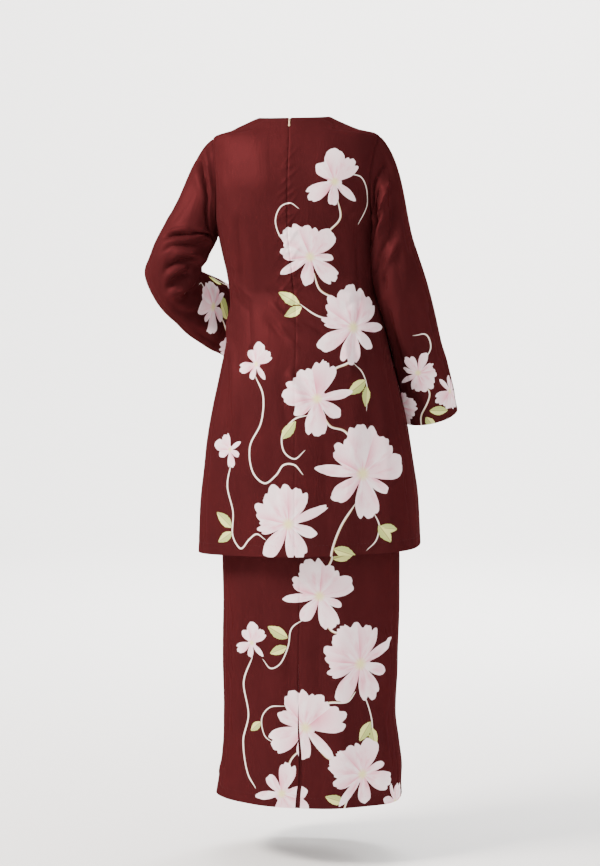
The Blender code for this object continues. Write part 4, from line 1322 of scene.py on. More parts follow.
    def _blooms(self, tree: Any, colour: Any) -> tuple[Any, Any]:
        """The cloth's colour with its blossoms drawn over it, and their mask.

        Args:
            tree: The material's nodes.
            colour: The colour under the blossoms.

        Returns:
            The colour's socket and the mask's.
        """
        place = add_node(tree, "ShaderNodeAttribute", attribute_name="bloom")
        x, y, kind = add_node(tree, "ShaderNodeSeparateXYZ", {0: place.outputs["Vector"]}).outputs
        flat = add_node(tree, "ShaderNodeCombineXYZ", {0: x, 1: y})
        reach = add_node(
            tree, "ShaderNodeVectorMath", {0: flat.outputs[0]}, operation="LENGTH"
        ).outputs["Value"]
        around = add_node(tree, "ShaderNodeMath", {0: y, 1: x}, operation="ARCTAN2")
        turn = {0: around.outputs[0], 1: 1 / (2 * math.pi), 2: 0.5}
        turn_share = add_node(tree, "ShaderNodeMath", turn, operation="MULTIPLY_ADD")
        design = add_node(tree, "ShaderNodeMath", {0: kind}, operation="FLOOR")
        chance = add_node(tree, "ShaderNodeMath", {0: kind}, operation="FRACT")
        share = np.linspace(0, 1, 181)
        drawn = []
        for lines in (
            [zip(share.tolist(), petal_reach(petals, share * 360 - 180).tolist()) for petals in PETALS],
            [petal_wash(petals) for petals in PETALS],
        ):
            total = 0.0
            for number, line in enumerate(lines):
                shape = add_node(tree, "ShaderNodeFloatCurve", {"Value": turn_share.outputs[0]})
                self._draw(shape, line)
                same = {0: design.outputs[0], 1: float(number), 2: 0.5}
                chosen = add_node(tree, "ShaderNodeMath", same, operation="COMPARE")
                term = {0: shape.outputs[0], 1: chosen.outputs[0], 2: total}
                total = add_node(tree, "ShaderNodeMath", term, operation="MULTIPLY_ADD").outputs[0]
            drawn.append(total)
        rim, painted = drawn
        spot = add_node(tree, "ShaderNodeCombineXYZ", {0: x, 1: y, 2: chance.outputs[0]})
        uneven = add_node(
            tree, "ShaderNodeTexNoise", {"Vector": spot.outputs[0], "Scale": 6.0, "Detail": 2.0}
        )
        ragged = add_node(
            tree, "ShaderNodeMath", {0: uneven.outputs[0], 1: 0.09, 2: rim}, operation="MULTIPLY_ADD"
        )
        depth = add_node(tree, "ShaderNodeMath", {0: ragged.outputs[0], 1: reach}, operation="SUBTRACT")
        ink = add_node(
            tree, "ShaderNodeMapRange", {"Value": depth.outputs[0], "From Min": 0.038, "From Max": 0.052}
        )
        way = add_node(tree, "ShaderNodeVectorMath", {0: flat.outputs[0]}, operation="NORMALIZE")
        far = {0: reach, 1: 0.8, 2: chance.outputs[0]}
        outwards = add_node(tree, "ShaderNodeMath", far, operation="MULTIPLY_ADD")
        parts = add_node(tree, "ShaderNodeSeparateXYZ", {0: way.outputs[0]}).outputs
        rays = add_node(tree, "ShaderNodeCombineXYZ", {0: parts[0], 1: parts[1], 2: outwards.outputs[0]})
        streak = add_node(
            tree, "ShaderNodeTexNoise", {"Vector": rays.outputs[0], "Scale": 3.4, "Detail": 3.0}
        )
        strong = add_node(
            tree, "ShaderNodeMapRange",
            {"Value": streak.outputs[0], "From Min": 0.42, "From Max": 0.70, "To Max": 0.8}
        )
        fade = add_node(tree, "ShaderNodeMapRange", {"Value": reach, "From Min": 1.0, "From Max": 0.35})
        edge = add_node(tree, "ShaderNodeMath", {0: painted, 1: 2.0}, operation="POWER")
        both = add_node(
            tree, "ShaderNodeMath", {0: strong.outputs[0], 1: edge.outputs[0]}, operation="MAXIMUM"
        )
        pink = add_node(
            tree, "ShaderNodeMath", {0: both.outputs[0], 1: fade.outputs[0]}, operation="MULTIPLY"
        )
        light, dark = hex_colour(self.petal), hex_colour(self.petal_wash)
        petal = add_node(tree, "ShaderNodeMix", {0: pink.outputs[0], 6: light, 7: dark}, data_type="RGBA")
        heart = {"Value": reach, "From Min": 0.16, "From Max": 0.05, "To Max": 0.8}
        core = add_node(tree, "ShaderNodeMapRange", heart)
        filled = {0: core.outputs[0], 6: petal.outputs[2], 7: hex_colour(self.heart)}
        drawn = add_node(tree, "ShaderNodeMix", filled, data_type="RGBA")
        over = {0: ink.outputs[0], 6: colour, 7: drawn.outputs[2]}
        return add_node(tree, "ShaderNodeMix", over, data_type="RGBA").outputs[2], ink.outputs[0]

    def build(self) -> Any:
        """The printed cloth as a material."""
        material, tree, shader = fresh_material(self.name)
        flat = add_node(tree, "ShaderNodeUVMap", uv_map="cloth")
        broad = add_node(tree, "ShaderNodeTexNoise", {"Vector": flat.outputs[0], "Scale": 9.0, "Detail": 3.0})
        deep, light = hex_colour(self.ground_deep), hex_colour(self.ground)
        ground = add_node(tree, "ShaderNodeMix", {0: broad.outputs[0], 6: deep, 7: light}, data_type="RGBA")
        colour = self._stems(tree, ground.outputs[2])
        colour = self._leaves(tree, colour)
        colour, petals = self._blooms(tree, colour)
        reverse = add_node(tree, "ShaderNodeAttribute", attribute_name="reverse")
        through_cloth = add_node(
            tree, "ShaderNodeMath", {0: reverse.outputs["Fac"], 1: self.reverse_fade}, operation="MULTIPLY"
        )
        faded = {0: through_cloth.outputs[0], 6: colour, 7: ground.outputs[2]}
        final = add_node(tree, "ShaderNodeMix", faded, data_type="RGBA")
        tree.links.new(final.outputs[2], shader.inputs["Base Color"])
        matt = {"Value": petals, "To Min": self.roughness, "To Max": self.roughness + self.ink_mattness}
        rough = add_node(tree, "ShaderNodeMapRange", matt)
        tree.links.new(rough.outputs[0], shader.inputs["Roughness"])
        bare = {"Value": petals, "To Min": self.lustre, "To Max": 0.0}
        tree.links.new(add_node(tree, "ShaderNodeMapRange", bare).outputs[0], shader.inputs["Metallic"])
        pebble = add_node(
            tree, "ShaderNodeTexNoise", {"Vector": flat.outputs[0], "Scale": 1 / self.grain, "Detail": 2.0}
        )
        stretch = add_node(tree, "ShaderNodeMapping", {"Vector": flat.outputs[0], "Scale": self.wrinkles})
        rumple = {"Vector": stretch.outputs[0], "Scale": 1.0, "Detail": 3.0, "Roughness": 0.55, "Distortion": 0.8}
        soft = add_node(tree, "ShaderNodeTexNoise", rumple)
        hang = add_node(
            tree, "ShaderNodeBump", {"Strength": 0.5, "Distance": 0.0030, "Height": soft.outputs[0]}
        )
        grainy = {"Strength": 0.2, "Distance": 0.0003, "Height": pebble.outputs[0], "Normal": hang.outputs[0]}
        bump = add_node(tree, "ShaderNodeBump", grainy)
        tree.links.new(bump.outputs[0], shader.inputs["Normal"])
        shader.inputs["Sheen Weight"].default_value = self.sheen
        shader.inputs["Sheen Roughness"].default_value = 0.38
        shader.inputs["Sheen Tint"].default_value = hex_colour(self.nap)
        shader.inputs["Diffuse Roughness"].default_value = 0.3
        shader.inputs["Specular IOR Level"].default_value = 0.0
        shader.inputs["Specular Tint"].default_value = hex_colour(self.edge_tint)
        return material


def smooth_line(points: Sequence[tuple[float, float]], step: float = 0.003) -> Array:
    """A smooth line through points of the flat cloth.

    Args:
        points: The places that it passes through.
        step: The distance between the line's own points.

    Returns:
        The line's points.
    """
    p = np.array(points, float)
    p = np.concatenate([[2 * p[0] - p[1]], p, [2 * p[-1] - p[-2]]])
    line = []
    for a, b, c, d in zip(p, p[1:], p[2:], p[3:]):
        count = max(2, int(np.linalg.norm(c - b) / step))
        t = np.linspace(0, 1, count, endpoint=False)[:, None]
        bend = (2 * a - 5 * b + 4 * c - d) * t * t + (3 * b - a - 3 * c + d) * t**3
        line.append(0.5 * (2 * b + (c - a) * t + bend))
    return np.concatenate([*line, p[-2:-1]])


class PrintLayers:
    """Lays the printed motifs on the faces of one piece of cloth, as values at the faces' corners."""

    FAR = 9.0
    REACH = 1.3  # how far from a blossom's middle its faces go, in radii
    TAPER = 0.022  # over which a stem narrows to its end

    def __init__(self, motifs: Print, corners: Array) -> None:
        """Keeps the motifs and the faces.

        Args:
            motifs: What is printed on the piece.
            corners: Places of the faces' corners on the flat cloth: faces, corners, 2.
        """
        self.motifs, self.corners = motifs, corners
        self.middles = corners.mean(axis=1)

    def blooms(self) -> Array:
        """Each corner's place in its nearest blossom, in radii, and the blossom's design and chance."""
        values = np.full((*self.corners.shape[:2], 3), self.FAR)
        values[..., 2] = 0.5
        best = np.full(len(self.corners), self.REACH)
        for number, bloom in enumerate(self.motifs.blooms):
            middle = np.array([bloom.across, bloom.down])
            away = np.linalg.norm(self.middles - middle, axis=1) / bloom.radius
            near = away < best
            best[near] = away[near]
            turn = math.radians(bloom.turn)
            spin = np.array([[math.cos(turn), math.sin(turn)], [-math.sin(turn), math.cos(turn)]])
            values[near, :, :2] = (self.corners[near] - middle) @ spin.T / bloom.radius
            values[near, :, 2] = bloom.design + 0.2 + 0.6 * ((number * 0.618) % 1.0)
        return values

    def leaves(self) -> Array:
        """Each corner's place along and across its nearest leaf, in lengths, and the leaf's shade."""
        values = np.full((*self.corners.shape[:2], 3), self.FAR)
        best = np.full(len(self.corners), 0.75)
        for number, leaf in enumerate(self.motifs.leaves):
            turn = math.radians(leaf.turn)
            way = np.array([math.cos(turn), math.sin(turn)])
            foot = np.array([leaf.across, leaf.down])
            away = np.linalg.norm(self.middles - foot - way * leaf.length / 2, axis=1) / leaf.length
            near = away < best
            best[near] = away[near]
            local = (self.corners[near] - foot) / leaf.length
            values[near, :, 0] = local @ way
            values[near, :, 1] = local @ np.array([-way[1], way[0]])
            values[near, :, 2] = 1.0 if number % 2 else -1.0
        return values

    def stems(self) -> tuple[Array, Array]:
        """Each corner's distance from its face's two nearest stems, half their width there, and shading."""
        lines = [smooth_line(stem.line) for stem in self.motifs.stems]
        away = np.full((max(2, len(lines)), len(self.corners)), self.FAR)
        for row, line in enumerate(lines):
            low, high = line.min(axis=0) - 0.02, line.max(axis=0) + 0.02
            near = np.flatnonzero(((self.middles > low) & (self.middles < high)).all(axis=1))
            if len(near):
                gaps = np.linalg.norm(self.middles[near][:, None] - line[None], axis=2)
                away[row, near] = gaps.min(axis=1)
        order = np.argsort(away, axis=0)[:2]
        layers = []
        for rank in order:
            values = np.zeros((*self.corners.shape[:2], 3))
            values[..., 0], values[..., 1] = self.FAR, -1.0
            for row, (stem, line) in enumerate(zip(self.motifs.stems, lines)):
                mine = np.flatnonzero((rank == row) & (away[row] < 0.014))
                if not len(mine):
                    continue
                way = unit(np.gradient(line, axis=0))
                length = run_along(line)
                corner = self.corners[mine]
                nearest = np.linalg.norm(corner[:, :, None] - line[None, None], axis=3).argmin(axis=2)
                offset, along = corner - line[nearest], way[nearest]
                across = along[..., 0] * offset[..., 1] - along[..., 1] * offset[..., 0]
                place = length[nearest] + (offset * along).sum(axis=2)
                ends = np.minimum(place, length[-1] - place) / self.TAPER
                values[mine, :, 0] = across
                taper = 0.35 + np.where(ends > 0, 0.65, 4.0) * ends
                values[mine, :, 1] = stem.half_width * np.clip(taper, -1.0, 1.0)
                values[mine, :, 2] = float(stem.shaded)
            layers.append(values)
        return layers[0], layers[1]


class Line(NamedTuple):
    """A line on the finished cloth: its points and its outward directions."""

    points: Array
    outward: Array


class Panel(NamedTuple):
    """A finished panel: its cloth, the lift of its folds, and distances from the seam in the middle."""

    cloth: Cloth
    lift: Array
    away: Array


@dataclass
class Shell:
    """A thin shell of cloth, with its print, made from a grid and the lift of its folds."""

    name: str
    cloth: Cloth
    lift: Array
    motifs: Print
    thickness: float | Array = CLOTH

    def row(self, place: int) -> Line:
        """One of the finished shell's rows, run on to its first point where the shell is closed."""
        points, outward = self.outer[place], self.outward[place]
        if self.cloth.closed:
            points, outward = np.concatenate([points, points[:1]]), np.concatenate([outward, outward[:1]])
        return Line(points, outward)

    def faces(self) -> tuple[Array, Array, Array]:
        """The shell's faces, the flat places of their corners, and whether each corner is on the reverse."""
        rows, columns = self.cloth.points.shape[:2]
        index = np.arange(rows * columns).reshape(rows, columns)
        if self.cloth.closed:
            index = np.concatenate([index, index[:, :1]], axis=1)
        place = np.arange(index.size).reshape(index.shape)
        outer, flat_of = self._quads(index), self._quads(place)
        count = rows * columns
        inner, inner_flat = outer[:, ::-1] + count, flat_of[:, ::-1]
        rims, rim_flats = [], []
        edges = [(index[0], place[0]), (index[-1][::-1], place[-1][::-1])]
        if not self.cloth.closed:
            edges += [(index[::-1, 0], place[::-1, 0]), (index[:, -1], place[:, -1])]
        for line, flat in edges:
            rims.append(np.stack([line[1:], line[:-1], line[:-1] + count, line[1:] + count], axis=1))
            rim_flats.append(np.stack([flat[1:], flat[:-1], flat[:-1], flat[1:]], axis=1))
        faces = np.concatenate([outer, inner, *rims])
        corners = np.concatenate([flat_of, inner_flat, *rim_flats])
        reverse = np.zeros(faces.shape)
        reverse[len(outer) : 2 * len(outer)] = 1.0
        return faces, self.cloth.flat.reshape(-1, 2)[corners], reverse

    @staticmethod
    def _quads(index: Array) -> Array:
        """The four corners of each cell of a grid of numbers."""
        cells = [index[:-1, :-1], index[:-1, 1:], index[1:, 1:], index[1:, :-1]]
        return np.stack([c.reshape(-1) for c in cells], axis=1)

    def build(self, material: Any) -> Any:
        """Makes the shell.

        Args:
            material: The printed cloth.

        Returns:
            The object, at the origin.
        """
        outer = self.cloth.points + self.lift[..., None] * self.cloth.normals
        return self.wrap(outer, material)

    def wrap(self, outer: Array, material: Any) -> Any:
        """Makes the shell from its finished outer face.

        Args:
            outer: The outer face's points.
            material: The printed cloth.

        Returns:
            The object, at the origin.
        """
        facing = self.cloth.facing(outer)
        self.outer, self.outward = outer, facing
        thickness = self.thickness if np.isscalar(self.thickness) else np.asarray(self.thickness)[..., None]
        inner = outer - thickness * facing
        faces, corners, reverse = self.faces()
        way = np.cross(outer[0, 1] - outer[0, 0], outer[1, 0] - outer[0, 0])
        if float(way @ (outer[0, 0] - inner[0, 0])) < 0:
            faces, corners, reverse = faces[:, ::-1], corners[:, ::-1], reverse[:, ::-1]
        mesh = bpy.data.meshes.new(self.name)
        points = np.concatenate([outer.reshape(-1, 3), inner.reshape(-1, 3)])
        mesh.from_pydata(points.tolist(), [], faces.tolist())
        mesh.uv_layers.new(name="cloth").data.foreach_set("uv", corners.reshape(-1).astype("f"))
        layers = PrintLayers(self.motifs, corners)
        stem_a, stem_b = layers.stems()
        kinds = {"bloom": layers.blooms(), "leaf": layers.leaves(), "stem_a": stem_a, "stem_b": stem_b}
        for key, values in kinds.items():
            attribute = mesh.attributes.new(key, "FLOAT_VECTOR", "CORNER")
            attribute.data.foreach_set("vector", values.reshape(-1).astype("f"))
        attribute = mesh.attributes.new("reverse", "FLOAT", "CORNER")
        attribute.data.foreach_set("value", reverse.reshape(-1).astype("f"))
        return finished(self.name, mesh, material)


def finished(name: str, mesh: Any, material: Any, sharp: float = 50.0) -> Any:
    """An object of a mesh, smooth but for its sharp edges.

    Args:
        name: The object's name.
        mesh: Its mesh, in place.
        material: Its finish.
        sharp: The least angle of a sharp edge, in degrees.

    Returns:
        The object, at the origin.
    """
    mesh.materials.clear()
    mesh.materials.append(material)
    mesh.shade_smooth()
    mesh.set_sharp_from_angle(angle=math.radians(sharp))
    obj = bpy.data.objects.new(name, mesh)
    bpy.context.scene.collection.objects.link(obj)
    log.info("%s: %d faces", name, len(mesh.polygons))
    return obj


def joined(halves: Sequence[tuple[Cloth, Array, Array, Array]]) -> tuple[Cloth, Array, Array]:
    """One panel from its left and right halves, which share the column in the middle.

    Args:
        halves: Cloth, lift, thickness and distances of the left half, then of the right one.

    Returns:
        The panel's cloth, lift and thickness.
    """
    left, right = halves

    def beside(a: Array, b: Array) -> Array:
        """A left grid and a mirrored right one, side by side."""
        return np.concatenate([a, b[:, -2::-1]], axis=1)

    cloth = Cloth(
        beside(left[0].points, right[0].points),
        beside(left[0].normals, right[0].normals),
        beside(left[0].flat, right[0].flat),
    )
    return cloth, beside(left[1], right[1]), beside(left[2], right[2])


def declare(
    piece: Any, nodes: Sequence[str], flat: tuple[float, float], area: float, rests_on: Sequence[str] = ()
) -> None:
    """Attaches a finished piece of cloth to the garment, hides the solids that it stands for, and logs them.

    Args:
        piece: The object.
        nodes: The solids that it replaces.
        flat: The width and length that it is cut to; not used.
        area: The flat area of its cut, in square metres; not used.
        rests_on: What it hangs from; not used.
    """
    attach(piece, "garment")
    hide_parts(*nodes)
    list(rests_on)
    log.info("%s stands for %s", piece.name, ", ".join(nodes))


class Cut(NamedTuple):
    """The width and length that a panel is cut to, and the flat area of its cut."""

    flat: tuple[float, float]
    area: float


@dataclass
class Garment:
    """A garment round the body: two back panels and a front cut in one."""

    NAME = ""
    PRINTS = {Side.BACK: NO_PRINT, Side.FRONT: NO_PRINT}
    NODES = {Side.BACK: ("",), Side.FRONT: ("",)}  # endings of the solids that one panel replaces
    RESTS_ON = ()

    crepe: Any
    hems: list[Line] = field(default_factory=list)

    def half(self, side: Side, hand: Hand) -> tuple[Cloth, Array, Array, Array]:
        """Half the front or back, as each garment has it."""
        raise NotImplementedError

    def finish(self, panel: str, side: Side, cloth: Cloth, lift: Array, thickness: Array) -> None:
        """Makes a panel and keeps the line of its hem's stitches.

        Args:
            panel: The panel's name.
            side: Front or back.
            cloth: Its grid.
            lift: The lift of its folds.
            thickness: Its thickness at each point.
        """
        shell = Shell(f"cloth_{self.NAME}_{panel}", cloth, lift, self.PRINTS[side], thickness)
        nodes = [f"{self.NAME}_{panel}{ending}" for ending in self.NODES[side]]
        declare(shell.build(self.crepe), nodes, *self.CUTS[side], self.RESTS_ON)
        up = cloth.points[:, 0, 2] - cloth.points[0, 0, 2]
        self.hems.append(shell.row(int(np.abs(up - HEM_DEPTH).argmin())))

    def panels(self) -> dict[Hand, Panel]:
        """Makes the three panels.

        Returns:
            The back panels.
        """
        backs = {}
        for hand in Hand:
            cloth, lift, thickness, inner = self.half(Side.BACK, hand)
            backs[hand] = Panel(cloth, lift, inner)
            self.finish(f"back_{hand.name.lower()}", Side.BACK, cloth, lift, thickness)
        self.finish("front", Side.FRONT, *joined([self.half(Side.FRONT, hand) for hand in Hand]))
        return backs


@dataclass
class Tunic(Garment):
    """The tunic's front, cut in one, and its two back panels with the seam that holds the zip."""

    NAME = "tunic"
    PRINTS = {Side.BACK: TUNIC_BACK_PRINT, Side.FRONT: TUNIC_FRONT_PRINT}
    NODES = {Side.BACK: ("_upper", "_lower"), Side.FRONT: ("_left", "_right")}
    CUTS = {Side.BACK: Cut((0.33, 0.90), 0.221), Side.FRONT: Cut((0.655, 0.90), 0.428)}

    front_columns: int = 48
    back_columns: int = 84
    skirt_rows: int = 190
    armhole_rows: int = 96
    shoulder_rows: int = 28
    samples: int = 361

    def armhole_edge(self, turn: Array, side: Side) -> tuple[Array, Array]:
        """(x, z) of the armhole's edge on the front or back, for the wearer's left."""
        reach = ARMHOLE_BACK_DEG if side is Side.BACK else ARMHOLE_FRONT_DEG
        middle, half = (SHOULDER_TIP_Z + UNDERARM_Z) / 2, (SHOULDER_TIP_Z - UNDERARM_Z) / 2
        z = middle + half * np.cos(turn)
        angle = np.radians(reach) * np.sin(turn)
        return TUNIC.width(z) * np.cos(angle) ** (2 / TUNIC.power(z)), z

    def side_edge(self, side: Side) -> Array:
        """(x, z) of a panel's outer edge, row by row: side seam, armhole, then shoulder seam.

        Args:
            side: Front or back.

        Returns:
            The edge's points.
        """
        rise = UNDERARM_Z - TUNIC_HEM_Z
        heights = TUNIC_HEM_Z + close_to_edges(rise, self.skirt_rows, True, False)
        low = np.stack([TUNIC.width(heights), heights], axis=1)
        turns = np.linspace(0, math.pi, self.armhole_rows + 1)[::-1][1:]
        armhole = np.stack(self.armhole_edge(turns, side), axis=1)
        share = close_to_edges(SHOULDER_RUN, self.shoulder_rows, False, True)[1:] / SHOULDER_RUN
        heights = SHOULDER_TIP_Z * (1 - share)
        top = np.stack([TUNIC.width(heights), heights], axis=1)
        return np.concatenate([low, armhole, top])

    def half_gap(self, z: float) -> float:
        """Half the space between the two backs: a closed seam that parts above the zip's slider."""
        opening = np.clip(1 + (z + BACK_NECK_DROP) / ZIP_TOP_TAPER, 0, 1)
        return CLOSED_GAP + ZIP_TOP_OPENING / 2 * float(opening)

    def rows(self, side: Side) -> list[Array]:
        """The rows of a half panel, each a curve from its outer edge to the middle of the body.

        Args:
            side: Front or back.

        Returns:
            The curves, from the hem up.
        """
        edge = self.side_edge(side)
        drop = BACK_NECK_DROP if side is Side.BACK else FRONT_NECK_DROP
        first = self.skirt_rows + len(EDGE_ROWS) - 2
        upper = edge[first:]
        share = run_along(TUNIC.point(upper[:, 0], upper[:, 1], side))
        share = share / share[-1]
        turn = np.linspace(0, math.pi / 2, self.samples)
        rows = []
        for i, (edge_x, edge_z) in enumerate(edge):
            up = share[i - first] if i > first else 0.0
            middle_z = UNDERARM_Z + (-drop - UNDERARM_Z) * up if i > first else edge_z
            inner = self.half_gap(middle_z) if side is Side.BACK else 0.0
            round_neck = up**4
            dip = (1 - round_neck) * np.sin(turn) ** 2 + round_neck * np.sin(turn)
            x = inner + (edge_x - inner) * np.cos(turn)
            rows.append(TUNIC.point(x, edge_z + (middle_z - edge_z) * dip, side))
        return rows

    def half(self, side: Side, hand: Hand) -> tuple[Cloth, Array, Array, Array]:
        """Half the front or back, with its hem tilted.

        Args:
            side: Front or back.
            hand: The wearer's left or right.

        Returns:
            The cloth, the lift of its folds, the thickness at each point, and distances from the middle.
        """
        back = side is Side.BACK
        columns = self.back_columns if back else self.front_columns
        cloth, outer, inner = TUNIC.half(self.rows(side), side, hand, columns, back)
        up = run_along(cloth.points[:, 0])[:, None]
        down = up[-1] - up
        calm = smoothstep(outer / CALM_EDGE) * smoothstep(down / CALM_EDGE)
        folds = TUNIC_BACK_FOLDS if back else TUNIC_FRONT_FOLDS
        lift = (folds_at(cloth.flat, folds) + waviness(cloth.flat, side.value * 1.3)) * calm
        lift += seam_sink(outer) + seam_sink(down) * 0.5 + hem_line(up)
        if back:
            lift += seam_sink(inner) * 0.8 + self.puckers(cloth.flat, hand)
        z = cloth.points[..., 2]
        share = np.clip((UNDERARM_Z - z) / (UNDERARM_Z - TUNIC_HEM_Z), 0, 1) ** 2
        cloth.points[..., 2] = z - TUNIC_HEM_TILT * cloth.points[..., 0] * share
        thickness = np.broadcast_to(hemmed(up), outer.shape)
        return cloth, lift, thickness, inner

    def puckers(self, flat: Array, hand: Hand) -> Array:
        """How far the zip's seam gathers the cloth beside it.

        Args:
            flat: Places on the flat cloth.
            hand: The wearer's left or right.

        Returns:
            The lift at each place.
        """
        lift = np.zeros(flat.shape[:-1])
        away = np.abs(flat[..., 0])
        for row in ZIP_PUCKERS:
            height, left, right, size = (value * MM for value in row)
            reach = left if hand is Hand.LEFT else right
            line = height - (0.75 + 0.45 * math.sin(190 * height)) * flat[..., 0]  # each slants its own way
            shape = np.exp(-(((flat[..., 1] - line) / PUCKER_WIDTH) ** 2))
            lift += size * shape * smoothstep(1 - away / (reach * PUCKER_TAIL)) * smoothstep(away / SEAM_FLAT)
        return lift


class ArmLine:
    """A sleeve's middle line: upper arm, a rounded elbow and forearm, with a frame that doesn't twist."""

    def __init__(self, arm: Arm, hand: Hand) -> None:
        """Works out the bend.

        Args:
            arm: The arm's sizes.
            hand: The wearer's left or right.
        """
        turn = np.array([hand.value, 1, 1])
        shoulder, elbow, cuff = (np.array(p) * turn for p in (arm.shoulder, arm.elbow, arm.cuff))
        upper, lower = unit(elbow - shoulder), unit(cuff - elbow)
        bend = math.acos(float(np.clip(upper @ lower, -1, 1)))
        cut = arm.bend_radius * math.tan(bend / 2)
        self.axis = unit(np.cross(upper, lower))
        self.start, self.upper, self.bend, self.radius = shoulder, upper, bend, arm.bend_radius
        self.straight = np.linalg.norm(elbow - shoulder) - cut
        self.arc = arm.bend_radius * bend
        self.length = self.straight + self.arc + np.linalg.norm(cuff - elbow) - cut
        outward = np.array([hand.value, 0, 0])
        self.side = unit(outward - (outward @ upper) * upper)
        self.back = np.cross(upper, self.side) * -hand.value

    def turned(self, v: Array, angle: Array) -> Array:
        """v turned about the elbow's axis."""
        cos, sin = np.cos(angle)[:, None], np.sin(angle)[:, None]
        along = (v @ self.axis) * self.axis
        return (v - along) * cos + np.cross(self.axis, v) * sin + along

    def frame(self, along: Array) -> tuple[Array, Array, Array, Array]:
        """(middle, direction, side, back) at distances down the arm.

        Args:
            along: The distances.

        Returns:
            The middle line's points, and the directions of its frame there.
        """
        along = np.asarray(along, float)
        angle = np.clip((along - self.straight) / self.radius, 0, self.bend)
        direction = self.turned(self.upper, angle)
        spoke = np.cross(self.axis, self.upper) * self.radius
        bent = self.start + self.upper * self.straight + spoke + self.turned(-spoke, angle)
        before = np.minimum(along - self.straight, 0)[:, None] * self.upper
        after = np.maximum(along - self.straight - self.arc, 0)[:, None] * direction
        return bent + before + after, direction, self.turned(self.side, angle), self.turned(self.back, angle)


